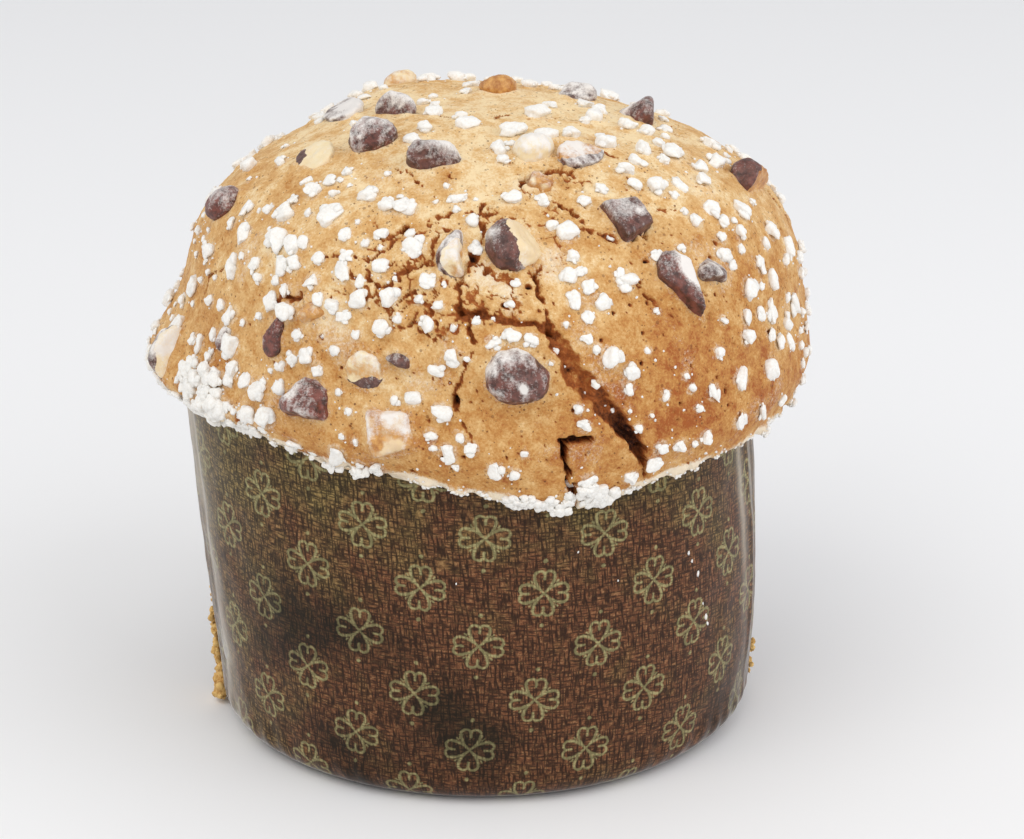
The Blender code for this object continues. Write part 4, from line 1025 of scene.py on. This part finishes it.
def build_crust(settings):
    """The whole loaf: the fine crust outside, then the slot for the paper and the hidden body."""
    azimuth, elevation, moved, _, cracked_and_shade, dusted, toast_and_painted_light = crust_grid()
    columns = azimuth.shape[1]
    azimuths = azimuth[0]
    edge = moved[-1]
    lower = edge[:, 2] + GAP
    inner = around(azimuths, np.hypot(edge[:, 0], edge[:, 1]) - RIM_THICKNESS, lower)
    rows = [off_wall(azimuths, inner, 2 * GAP)]
    mouth = edge[:, 2] + 0.45 * (CASE_HEIGHT - edge[:, 2])
    roof = CASE_HEIGHT + GAP
    rows.append(in_case(azimuths, wall_radius(mouth) + GAP, mouth))
    rows.append(in_case(azimuths, wall_radius(roof) + GAP, np.full(columns, roof)))
    for level in np.linspace(roof, CASE_CORNER, 7):
        rows.append(in_case(azimuths, wall_radius(level) - PAPER - 2 * GAP, np.full(columns, level)))
    rows.append(in_case(azimuths, CASE_RADIUS - CASE_CORNER, np.full(columns, PAPER + 2 * GAP)))
    grid = np.concatenate((moved, np.stack(rows)))
    points, triangles = closed_grid(grid)
    # The crown's top is made paler, partly as painted light falling from above.
    toast_and_painted_light = toast_and_painted_light - settings.top_paleness_and_painted_light * smooth_step(20, 75, elevation)
    under = np.zeros((len(rows), columns))
    looks = {"cracked_and_shade": cracked_and_shade, "dusted": dusted, "toast_and_painted_light": np.clip(toast_and_painted_light, 0, 1.2)}
    looks = {name: np.concatenate((np.concatenate((values, under + 0.3)).ravel(), [0, 0]))
             for name, values in looks.items()}
    piece = make_piece("crust", points, triangles, crust_material(settings), looks)
    thin_out(piece, CRUST_TRIANGLES)
    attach(piece, "root")
    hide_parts("loaf")


def build_sugar(settings):
    """Pearl sugar, large lumps and small ones, joined into one piece for each."""
    rows = sugar_places()
    size = (rows[:, 2] + rows[:, 3]) / 2
    material = sugar_material(settings)
    draw = np.random.default_rng(300)
    for name, chosen, subdivisions, buds in (("pearl_sugar_large", size >= 2.8, 3, 2),
                                             ("pearl_sugar_small", size < 2.8, 2, 1)):
        places = [on_crust(azimuth, elevation) for azimuth, elevation in rows[chosen, :2]]
        outward = np.array([normal for _, normal in places])
        thick = np.minimum(rows[chosen, 2], rows[chosen, 3]) * draw.uniform(0.55, 0.8, chosen.sum())
        sizes = np.stack((rows[chosen, 2], rows[chosen, 3], thick), -1) * settings.lump_scale
        centres = np.array([point for point, _ in places]) + outward * (thick * 0.2)[:, None]
        meshes = [lump_meshes(subdivisions, centres, outward, sizes * 0.92, 310 + subdivisions, 3.2, 0.1)]
        for bud in range(buds):
            aside = draw.normal(size=centres.shape)
            aside -= (aside * outward).sum(1, keepdims=True) * outward
            aside /= np.linalg.norm(aside, axis=1, keepdims=True)
            small = sizes * draw.uniform(0.3, 0.62, (len(sizes), 1))
            budding = centres + aside * sizes.mean(1, keepdims=True) * 0.42
            meshes.append(lump_meshes(2, budding, outward, small, 320 + bud, 3.0, 0.1))
        points, triangles = joined(*meshes)
        piece = make_piece(name, points, triangles, material)
        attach(piece, "root")


def build_grains(settings):
    """Loose sugar grains stuck round the lumps and nuts, and a few on the paper."""
    draw = np.random.default_rng(400)
    rows = sugar_places()
    picked = rows[draw.integers(0, len(rows), settings.grains)]
    turn = draw.uniform(0, 2 * math.pi, len(picked))
    spread = (picked[:, 2] / 2 + np.abs(draw.normal(0, 2.0, len(picked)))) / CROWN_RADIUS
    elevation = picked[:, 1] + np.degrees(spread * np.sin(turn))
    azimuth = picked[:, 0] + np.degrees(spread * np.cos(turn)) / np.maximum(np.cos(np.radians(elevation)), 0.3)
    places = [on_crust(*place) for place in zip(azimuth, np.clip(elevation, -11, 89))]
    centres = np.array([point for point, _ in places])
    outward = np.array([normal for _, normal in places])
    specks = [(46.0, 58.5, 1.0), (46.8, 56, 0.8), (48.5, 52, 1.1), (50, 43.5, 0.8), (51, 39.5, 1.2),
              (51.6, 37.5, 0.9), (20, 66, 0.5), (-4, 60, 0.5), (28, 57, 0.5)]
    wall = np.array([in_case(np.array(float(a)), wall_radius(z) + 0.2, z) for a, z, _ in specks])
    wall_out = np.array([around(np.array(float(a)), 1.0, 0.0) for a, _, _ in specks])
    sizes = draw.uniform(0.35, 0.9, (len(centres), 1)) * draw.uniform(0.8, 1.2, (len(centres), 3))
    speck_sizes = np.array([[size, size * 1.6, size * 0.5] for _, _, size in specks])
    points, triangles = lump_meshes(1, np.concatenate((centres, wall)), np.concatenate((outward, wall_out)),
                                    np.concatenate((sizes, speck_sizes)), 410, 2.4, 0.0)
    material = bpy.data.materials["pressed_pearl_sugar"]
    piece = make_piece("sugar_grains", points, triangles, material, smooth=False)
    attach(piece, "root")


def even_out(points, edges, rounds):
    """Smooth points towards the middle of their neighbours."""
    count = np.bincount(edges.ravel(), minlength=len(points))[:, None]
    for _ in range(rounds):
        total = np.zeros_like(points)
        np.add.at(total, edges[:, 0], points[edges[:, 1]])
        np.add.at(total, edges[:, 1], points[edges[:, 0]])
        points = points + (total / np.maximum(count, 1) - points) * 0.6
    return points


def build_nut(name, material):
    """One piece of nut: its frame solid with rounded skin, ribs, chipped breaks and dust."""
    node = NODES[name]
    number = nut_number(name)
    look = name.split("_")[1]
    piece = bpy.data.objects.new(name + "_nut", node.data.copy())
    bpy.context.scene.collection.objects.link(piece)
    finer = piece.modifiers.new("finer", "REMESH")
    finer.mode = "VOXEL"
    finer.voxel_size = 0.45 * MM
    apply_modifiers(piece)
    mesh = piece.data
    points = np.empty(len(mesh.vertices) * 3, np.float32)
    mesh.vertices.foreach_get("co", points)
    points = points.reshape(-1, 3).astype(float) / MM
    edges = np.empty(len(mesh.edges) * 2, np.int32)
    mesh.edges.foreach_get("vertices", edges)
    edges = edges.reshape(-1, 2)
    centre = nut_shapes()[name][0]
    outwards = centre - (0, 0, CROWN_LEVEL)
    outwards /= np.linalg.norm(outwards)
    sideways = np.cross((0, 0, 1), outwards)
    sideways /= np.linalg.norm(sideways)
    frame_axes = np.stack((sideways, np.cross(outwards, sideways), outwards), 1)
    points = even_out(points, edges, 10 if look == "pale" else 6)
    local = (points - centre) @ frame_axes + 37.0 * number
    way = points - centre
    way /= np.linalg.norm(way, axis=1, keepdims=True)
    facing, low, high = NUT_BARE.get(number, NUT_BARE_USUAL)
    if look == "mixed":
        lean_to = way @ frame_axes @ np.array(facing) / np.linalg.norm(facing)
        lean_to = lean_to + 0.16 * ripple(local, 2.6, 550) + 0.08 * ripple(local, 1.0, 551)
        bare = smooth_step(high - 0.06, high + 0.06, lean_to) + 1 - smooth_step(low - 0.06, low + 0.06, lean_to)
    else:
        bare = np.full(len(points), float(look == "pale"))
    ribs = ripple(local * (1, 0.3, 1), 0.9, 510)
    skin = 0.32 * roughness(local, 3.4, 500) + 0.16 * ribs + 0.1
    chip = 0.28 * roughness(local, 2.0, 520) + 0.1 * ripple(local, 0.7, 530) - 0.12
    lift = skin * (1 - bare) + chip * bare
    points = points + way * lift[:, None]
    mesh.vertices.foreach_set("co", (points * MM).astype(np.float32).ravel())
    toast, red, dust = NUT_FINISH.get(number, NUT_USUAL)
    ridge = ((points - even_out(points, edges, 6)) * way).sum(1)
    dusty = dust * (0.35 + 0.5 * np.clip(way[:, 2], -0.2, 1) + 0.38 * ripple(local, 3.2, 540) + 0.3 * ribs)
    dusty += np.clip(ridge * 1.6, -0.2, 0.4) * dust
    sideward, upward = (way @ frame_axes)[:, 0], (way @ frame_axes)[:, 1]
    for across, above, reach, amount in NUT_POWDER.get(number, ()):
        dusty += amount * np.exp(-((sideward - across) ** 2 + (upward - above) ** 2) / reach ** 2)
    toasty = np.clip(toast + 0.5 * ripple(local, 2.4, 560) * min(1, 2 * toast), 0, 1)
    reddened = np.clip(red + 0.3 * ripple(local, 3.0, 570), 0, 1)
    looks = {"bare": bare, "toast": toasty, "red": reddened, "dust": dusty}
    for attribute, values in looks.items():
        layer = mesh.attributes.new(attribute, "FLOAT", "POINT")
        layer.data.foreach_set("value", values.astype(np.float32))
    mesh.materials.clear()
    mesh.materials.append(material)
    mesh.shade_smooth()
    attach(piece, "root")
    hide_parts(name)


def build_case(settings):
    """The paper case: a fine crinkled wall with its print laid out on it, and a plain inside."""
    columns, rows = CASE_COLUMNS, CASE_ROWS
    azimuths = np.linspace(-180, 180, columns, endpoint=False)
    levels = np.concatenate((np.linspace(CASE_HEIGHT, CASE_CORNER, rows), np.full(14, CASE_CORNER)))
    turns = np.concatenate((np.zeros(rows), np.linspace(0, math.pi / 2, 15)[1:]))
    azimuth, level = np.meshgrid(azimuths, levels)
    turn = turns[:, None]
    radius = wall_radius(level) - CASE_CORNER + CASE_CORNER * np.cos(turn)
    height = level - CASE_CORNER * np.sin(turn)
    wall = in_case(azimuth, radius, height)
    out = around(azimuth, np.ones_like(azimuth), 0.0)
    crinkle = 0.35 * roughness(wall, 22.0, 600) + 0.10 * roughness(wall, 6.0, 610)
    crease = np.exp(-(((azimuth - 74) / 1.1) ** 2)) - 0.8 * np.exp(-(((azimuth - 79) / 1.4) ** 2))
    crease += 0.8 * np.exp(-(((azimuth + 80) / 1.6) ** 2)) - 0.7 * np.exp(-(((azimuth + 74) / 2.0) ** 2))
    pleat = 0.18 * np.sin(np.radians(azimuth) * 64 + 2 * ripple(wall, 9.0, 620))
    crinkle += 0.45 * crease * smooth_step(4, 30, height) + pleat * np.exp(-(((height - 5) / 5) ** 2))
    wall = wall + out * (crinkle * np.cos(turn) ** 2)[..., None]
    base = np.stack([in_case(azimuths, share * (CASE_RADIUS - CASE_CORNER), np.zeros(columns))
                     for share in (0.75, 0.4, 0.1)])
    inside = np.stack([in_case(azimuths, share * (CASE_RADIUS - CASE_CORNER), np.full(columns, 0.35))
                       for share in (0.1, 0.75)]
                      + [in_case(azimuths, wall_radius(step) - 0.35 - 0.3 * (step < 12), np.full(columns, step))
                         for step in (CASE_CORNER, 30.0, 60.0, 80.0, CASE_HEIGHT)])
    grid = np.concatenate((wall, base, inside))
    points = grid.reshape(-1, 3)
    triangles = grid_triangles(len(grid), columns)
    last = (len(grid) - 1) * columns
    first = np.arange(columns)
    following = (first + 1) % columns
    rim = np.concatenate((np.stack((last + first, first, following), -1),
                          np.stack((last + first, following, last + following), -1)))
    triangles = np.concatenate((triangles, rim))
    heights = points[:, 2]
    turns_all = np.tile(azimuths, len(grid))
    stain = np.zeros(len(points))
    for azimuth_at, level_at, reach, wide in ((-42, 48, 9, 12), (-27, 42, 8, 10), (-3, 20, 12, 9), (-30, 8, 10, 9),
                                              (-47, 36, 7, 8), (-12, 27, 6, 6), (64, 12, 9, 12), (150, 50, 12, 12),
                                              (205, 30, 10, 12), (-110, 40, 10, 12), (110, 22, 9, 10)):
        stain += hump(turns_all, azimuth_at, wide) * np.exp(-(((heights - level_at) / reach) ** 2))
    # The paper is also made darker towards the bottom.
    stain += 0.12 * (1 - smooth_step(5, 40, heights))
    stain = np.clip(stain * (0.75 + 0.7 * roughness(points, 9.0, 630)), 0, 1)
    olive = smooth_step(45, 90, heights) * 0.6 + 0.5 * hump(turns_all, -70, 32) + 0.2 * hump(turns_all, 75, 20)
    # Pale bands along the folds, the seam and both edges: painted sheen and highlights, in part paper rubbed pale.
    rubbed_and_sheen = 0.6 * hump(turns_all, 68.5, 1.5) * smooth_step(25, 60, heights)
    rubbed_and_sheen += 0.15 * hump(turns_all, 78, 3.0) * smooth_step(0, 50, heights)
    rubbed_and_sheen += 0.4 * hump(turns_all, -74 + 0.12 * heights, 2.0) * (1 - smooth_step(25, 40, heights))
    rubbed_and_sheen += 0.5 * hump(turns_all, -82, 12.0) * smooth_step(40, 90, heights)
    rubbed_and_sheen += 0.3 * hump(turns_all, -66 - 0.12 * heights, 4.0)
    rubbed_and_sheen *= 0.9 + 0.3 * roughness(points, 7.0, 640)
    looks = {"stained": stain, "olive": olive, "rubbed_and_sheen": np.clip(rubbed_and_sheen, 0, 0.85)}
    piece = make_piece("case", points, triangles, paper_material(settings), looks)
    lay_print(piece, settings)
    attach(piece, "root")
    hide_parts("paper_case")


def lay_print(piece, settings):
    """Lay the print on the wall in millimetres: round the case, and up it with a slow fall."""
    mesh = piece.data
    layer = mesh.uv_layers.new(name="print")
    corners = np.empty(len(mesh.loops), np.int32)
    mesh.loops.foreach_get("vertex_index", corners)
    points = np.empty(len(mesh.vertices) * 3, np.float32)
    mesh.vertices.foreach_get("co", points)
    points = points.reshape(-1, 3)[corners].astype(float) / MM
    turn = np.arctan2(points[:, 0] - lean(points[:, 2]), -points[:, 1])
    turn = turn.reshape(-1, 3)
    turn = np.where(turn - turn[:, :1] > math.pi, turn - 2 * math.pi, turn)
    turn = np.where(turn - turn[:, :1] < -math.pi, turn + 2 * math.pi, turn).ravel()
    period = settings.flower_period
    around_case = turn / (2 * math.pi) * settings.flowers * period
    sheared = around_case + settings.print_slant * (points[:, 2] - settings.flower_level)
    upward = points[:, 2] - settings.flower_level + turn / (2 * math.pi) * period
    start = math.radians(settings.flower_azimuth) / (2 * math.pi)
    half = period / 2
    uv = np.stack((sheared - start * settings.flowers * period + half, upward - start * period + half), -1)
    layer.data.foreach_set("uv", uv.astype(np.float32).ravel())


def build_crumbs(settings):
    """Crumbs pulled out where the loaf was skewered to cool hanging, low on both sides."""
    draw = np.random.default_rng(700)
    rows = []
    for azimuth, level, spread, count, sizes in (
            (-91, 29, 0.7, 5, (0.9, 1.5)), (-90.5, 17, 3.2, 90, (1.3, 2.2)), (-89.5, 10, 2.6, 70, (1.5, 2.6)),
            (-88, 4.2, 1.5, 60, (2.0, 3.6)), (89, 13, 0.8, 14, (0.9, 2.0)), (88.5, 8.2, 0.6, 12, (0.8, 1.9))):
        for _ in range(count):
            size = draw.uniform(*sizes)
            rows.append((azimuth + draw.normal(0, 1.3), max(level + draw.normal(0, spread), 0.6 * size), size))
    centres = np.array([in_case(np.array(a), wall_radius(z) - 0.1 + draw.uniform(0.0, 0.7) * size, z)
                        for a, z, size in rows])
    outward = np.array([around(np.array(a), 1.0, 0.0) for a, _, _ in rows])
    sizes = np.array([[size, size * draw.uniform(0.7, 1.2), size * draw.uniform(0.6, 1.1)]
                      for _, _, size in rows])
    points, triangles = lump_meshes(2, centres, outward, sizes, 710, 2.2, 0.2)
    piece = make_piece("skewer_crumbs", points, triangles, crumb_material(settings))
    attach(piece, "root")


def build_stage(settings):
    """The floor, the soft lights, the pale surround and the camera."""
    bpy.ops.mesh.primitive_plane_add(size=settings.floor_size, location=(0, 0, 0))
    floor = bpy.context.object
    floor.name = "floor"
    floor.data.materials.append(floor_material(settings))
    for name, place, size, power, colour in (
            ("key", (-0.7, -1.0, 1.5), 1.5, settings.key_power, "#FFFDF9"),
            ("fill", (1.0, -0.8, 1.0), 1.4, settings.fill_power, "#FDFDFF"),
            ("left", (-1.1, 0.3, 0.6), 0.9, settings.side_power, "#FAFBFF"),
            ("right", (1.1, 0.35, 0.55), 0.9, settings.side_power, "#FAFBFF")):
        lamp = bpy.data.lights.new(name, "AREA")
        lamp.energy = power
        lamp.size = size
        lamp.color = linear(colour)[:3]
        holder = bpy.data.objects.new(name, lamp)
        bpy.context.scene.collection.objects.link(holder)
        holder.location = place
        aim = Vector((0, 0, 0.09)) - Vector(place)
        holder.rotation_euler = aim.to_track_quat("-Z", "Y").to_euler()
    world = bpy.data.worlds.new("pale_surround")
    world.use_nodes = True
    backdrop = world.node_tree.nodes["Background"]
    backdrop.inputs["Color"].default_value = linear(settings.surround)
    backdrop.inputs["Strength"].default_value = settings.surround_strength
    scene = bpy.context.scene
    scene.world = world
    scene.view_settings.view_transform = "Standard"

    pitch, heading, roll = (math.radians(angle) for angle in settings.view_angles)
    forward = Vector((math.sin(heading) * math.cos(pitch), math.cos(heading) * math.cos(pitch),
                      -math.sin(pitch)))
    right = Vector((math.cos(heading), -math.sin(heading), 0))
    up = right.cross(forward)
    turned_right = math.cos(roll) * right + math.sin(roll) * up
    turned_up = math.cos(roll) * up - math.sin(roll) * right
    lens = bpy.data.cameras.new("camera")
    lens.sensor_width = 36.0
    lens.lens = settings.lens
    holder = bpy.data.objects.new("camera", lens)
    scene.collection.objects.link(holder)
    attitude = Matrix((turned_right, turned_up, -forward)).transposed().to_4x4()
    holder.matrix_world = Matrix.Translation(settings.camera_place) @ attitude
    scene.camera = holder


# ---------------------------------------------------------------- settings, operators and panel


def colour_text(name, description, default):
    """A colour setting, held as sRGB hex."""
    return bpy.props.StringProperty(name=name, description=description, default=default)


class CrustSettings(bpy.types.PropertyGroup):
    """Colours of the baked glaze."""
    pale: colour_text("Pale glaze", "Glaze where it is thin and dry", "#F2D9AC")
    tan: colour_text("Tan glaze", "Most of the glaze", "#DDB276")
    golden: colour_text("Golden glaze", "Glaze where it browned most", "#C48C4B")
    speck: colour_text("Specks", "Bits of nut skin in the glaze", "#6E3F20")
    crack: colour_text("Crack edge", "Toasted edges inside cracks", "#A25825")
    # The darkest colour, partly painted shade on the floors of deep cracks, pores and holes.
    deep: colour_text("Crack floor", "Deepest part of cracks and pores", "#38170A")
    powder: colour_text("Powder", "Sugar dust on the glaze", "#F5E9D2")
    # How much paler the top is made, partly as painted light from above.
    top_paleness_and_painted_light: bpy.props.FloatProperty(name="Top paleness", default=0.44, min=0, max=1, subtype="FACTOR",
                                          description="How much paler the crown's top is than its sides")


class SugarSettings(bpy.types.PropertyGroup):
    """Sizes and colours of the pearl sugar."""
    white: colour_text("White", "Lit faces of the crystals", "#F3F1EC")
    shade: colour_text("Shade", "Gaps between the crystals", "#E8E3DA")
    lump_scale: bpy.props.FloatProperty(name="Lump scale", default=1.0, min=0.5, max=1.5,
                                        description="Size of the lumps against those of a real loaf")
    grains: bpy.props.IntProperty(name="Grains", default=900, min=0, max=3000,
                                  description="How many loose sugar grains are stuck to the crust")


class NutSettings(bpy.types.PropertyGroup):
    """Colours of the hazelnuts."""
    skin: colour_text("Skin", "Dry papery skin", "#6B4C44")
    skin_dark: colour_text("Dark skin", "Skin in its folds", "#452B25")
    skin_red: colour_text("Red skin", "Skin that is redder than most", "#7E4236")
    flesh: colour_text("Flesh", "Broken flesh", "#F1E4C6")
    flesh_shade: colour_text("Flesh shade", "Flesh in its hollows", "#E8CD94")
    flesh_pink: colour_text("Pink flesh", "Flesh stained by its skin", "#D3AE9A")
    roast: colour_text("Roast", "Toasted flesh", "#D9A45E")
    roast_dark: colour_text("Dark roast", "Flesh that browned most", "#A5672F")
    powder: colour_text("Powder", "Sugar dust", "#ECE7E1")


class CaseSettings(bpy.types.PropertyGroup):
    """The paper's print, measured in millimetres of paper, and its colours."""
    flowers: bpy.props.IntProperty(name="Flowers", default=15, min=4, max=40,
                                   description="How many flowers a row has round the case")
    flower_period: bpy.props.FloatProperty(name="Flower period", default=28.0, min=5, max=80,
                                           description="Millimetres from one flower to the next in its row")
    flower_azimuth: bpy.props.FloatProperty(name="Flower azimuth", default=2.15,
                                            description="Degrees from the front to the first flower")
    flower_level: bpy.props.FloatProperty(name="Flower level", default=71.4,
                                          description="Millimetres from the ground to the first flower")
    print_slant: bpy.props.FloatProperty(name="Print slant", default=-0.115,
                                         description="How far columns of flowers lean for each millimetre up")
    line_width: bpy.props.FloatProperty(name="Line width", default=0.46, min=0.1, max=2,
                                        description="Half width of the flower's lines in millimetres")
    lobe_along: bpy.props.FloatProperty(name="Lobe distance", default=4.4,
                                        description="Millimetres from a flower's centre to a lobe's, along a petal")
    lobe_beside: bpy.props.FloatProperty(name="Lobe offset", default=1.15,
                                         description="Millimetres from a petal's middle to a lobe's centre")
    lobe_radius: bpy.props.FloatProperty(name="Lobe radius", default=1.22,
                                         description="Radius of each lobe in millimetres")
    thread: bpy.props.FloatProperty(name="Thread", default=0.52, min=0.2, max=3,
                                    description="Millimetres from one printed thread to the next")
    black: colour_text("Dark threads", "Darkest threads", "#120B07")
    brown: colour_text("Brown threads", "Most threads", "#5E3D2A")
    rust: colour_text("Red threads", "Threads printed redder", "#74492F")
    tan: colour_text("Light threads", "Lightest threads", "#946B49")
    moss: colour_text("Olive threads", "Threads towards the rim", "#5A4A2C")
    ochre: colour_text("Ochre threads", "Light threads towards the rim", "#98804E")
    stain: colour_text("Butter stain", "Paper soaked with butter", "#10120A")
    gold: colour_text("Gold line", "Lines of the flower", "#A8A272")
    gold_dark: colour_text("Dark gold line", "Lines where dark threads cross them", "#736C48")
    # Colour of the painted sheen and highlights at the folds, seam and edges, in part rubbed paper.
    rubbed_and_sheen: colour_text("Rubbed paper", "Paper gone pale at folds and its seam", "#CBC1B1")
    crumb: colour_text("Crumb", "Crumbs at the skewer holes", "#E2BC76")
    crumb_dark: colour_text("Dark crumb", "Crumbs in their hollows", "#B98A48")


class StageSettings(bpy.types.PropertyGroup):
    """The floor, lights and camera."""
    floor: colour_text("Floor", "Colour of the floor", "#F1F1F1")
    floor_size: bpy.props.FloatProperty(name="Floor size", default=8.0, unit="LENGTH", subtype="DISTANCE",
                                        description="Side of the square floor")
    surround: colour_text("Surround", "Colour of the light from all round", "#F4F5F8")
    surround_strength: bpy.props.FloatProperty(name="Surround strength", default=0.71,
                                               description="Strength of the light from all round")
    key_power: bpy.props.FloatProperty(name="Key", default=12.4, unit="POWER",
                                       description="Power of the main light, high at the front left")
    fill_power: bpy.props.FloatProperty(name="Fill", default=9.0, unit="POWER",
                                        description="Power of the light at the front right")
    side_power: bpy.props.FloatProperty(name="Sides", default=1.5, unit="POWER",
                                        description="Power of the lights at each side")
    lens: bpy.props.FloatProperty(name="Lens", default=121.25, description="Focal length in millimetres")
    camera_place: bpy.props.FloatVectorProperty(name="Camera place", default=(0.0, -0.818939, 0.373329),
                                                subtype="TRANSLATION", unit="LENGTH",
                                                description="Where the camera stands")
    view_angles: bpy.props.FloatVectorProperty(name="View angles", default=(20.0, 0.51, -0.44),
                                               description="Pitch down, heading and roll in degrees")


class PANETTONE_OT_crust(bpy.types.Operator):
    """Build the loaf with its cracked glaze"""
    bl_idname = "panettone.crust"
    bl_label = "Crust"

    def execute(self, context):
        build_crust(context.scene.crust_settings)
        return {"FINISHED"}


class PANETTONE_OT_nuts(bpy.types.Operator):
    """Build every piece of hazelnut"""
    bl_idname = "panettone.nuts"
    bl_label = "Hazelnuts"

    def execute(self, context):
        settings = context.scene.nut_settings
        material = nut_material(settings)
        for name in sorted(nut_shapes()):
            build_nut(name, material)
        return {"FINISHED"}


class PANETTONE_OT_sugar(bpy.types.Operator):
    """Build the pearl sugar"""
    bl_idname = "panettone.sugar"
    bl_label = "Pearl sugar"

    def execute(self, context):
        build_sugar(context.scene.sugar_settings)
        return {"FINISHED"}


class PANETTONE_OT_grains(bpy.types.Operator):
    """Build the loose sugar grains"""
    bl_idname = "panettone.grains"
    bl_label = "Sugar grains"

    def execute(self, context):
        build_grains(context.scene.sugar_settings)
        return {"FINISHED"}


class PANETTONE_OT_case(bpy.types.Operator):
    """Build the printed paper case"""
    bl_idname = "panettone.case"
    bl_label = "Paper case"

    def execute(self, context):
        build_case(context.scene.case_settings)
        return {"FINISHED"}


class PANETTONE_OT_crumbs(bpy.types.Operator):
    """Build the crumbs at the skewer holes"""
    bl_idname = "panettone.crumbs"
    bl_label = "Crumbs"

    def execute(self, context):
        build_crumbs(context.scene.case_settings)
        return {"FINISHED"}


class PANETTONE_OT_stage(bpy.types.Operator):
    """Build the floor, lights and camera"""
    bl_idname = "panettone.stage"
    bl_label = "Stage"

    def execute(self, context):
        build_stage(context.scene.stage_settings)
        return {"FINISHED"}


class PANETTONE_PT_pieces(bpy.types.Panel):
    """Buttons for each group of pieces"""
    bl_idname = "PANETTONE_PT_pieces"
    bl_label = "Panettone"
    bl_space_type = "VIEW_3D"
    bl_region_type = "UI"
    bl_category = "Panettone"

    def draw(self, context):
        for operator in OPERATORS:
            self.layout.operator(operator.bl_idname)


OPERATORS = (PANETTONE_OT_stage, PANETTONE_OT_crust, PANETTONE_OT_nuts, PANETTONE_OT_sugar, PANETTONE_OT_grains,
             PANETTONE_OT_case, PANETTONE_OT_crumbs)
GROUPS = {"crust_settings": CrustSettings, "sugar_settings": SugarSettings, "nut_settings": NutSettings,
          "case_settings": CaseSettings, "stage_settings": StageSettings}


def register():
    """Make the settings, operators and panel known to Blender."""
    for kind in (*GROUPS.values(), *OPERATORS, PANETTONE_PT_pieces):
        bpy.utils.register_class(kind)
    for name, kind in GROUPS.items():
        setattr(bpy.types.Scene, name, bpy.props.PointerProperty(type=kind))


def unregister():
    """Take them away again."""
    for name in GROUPS:
        delattr(bpy.types.Scene, name)
    for kind in reversed((*GROUPS.values(), *OPERATORS, PANETTONE_PT_pieces)):
        bpy.utils.unregister_class(kind)


def main():
    """Build every piece in order."""
    register()
    for operator in OPERATORS:
        group, name = operator.bl_idname.split(".")
        getattr(getattr(bpy.ops, group), name)()
    bpy.context.view_layer.update()


if __name__ == "__main__":
    main()
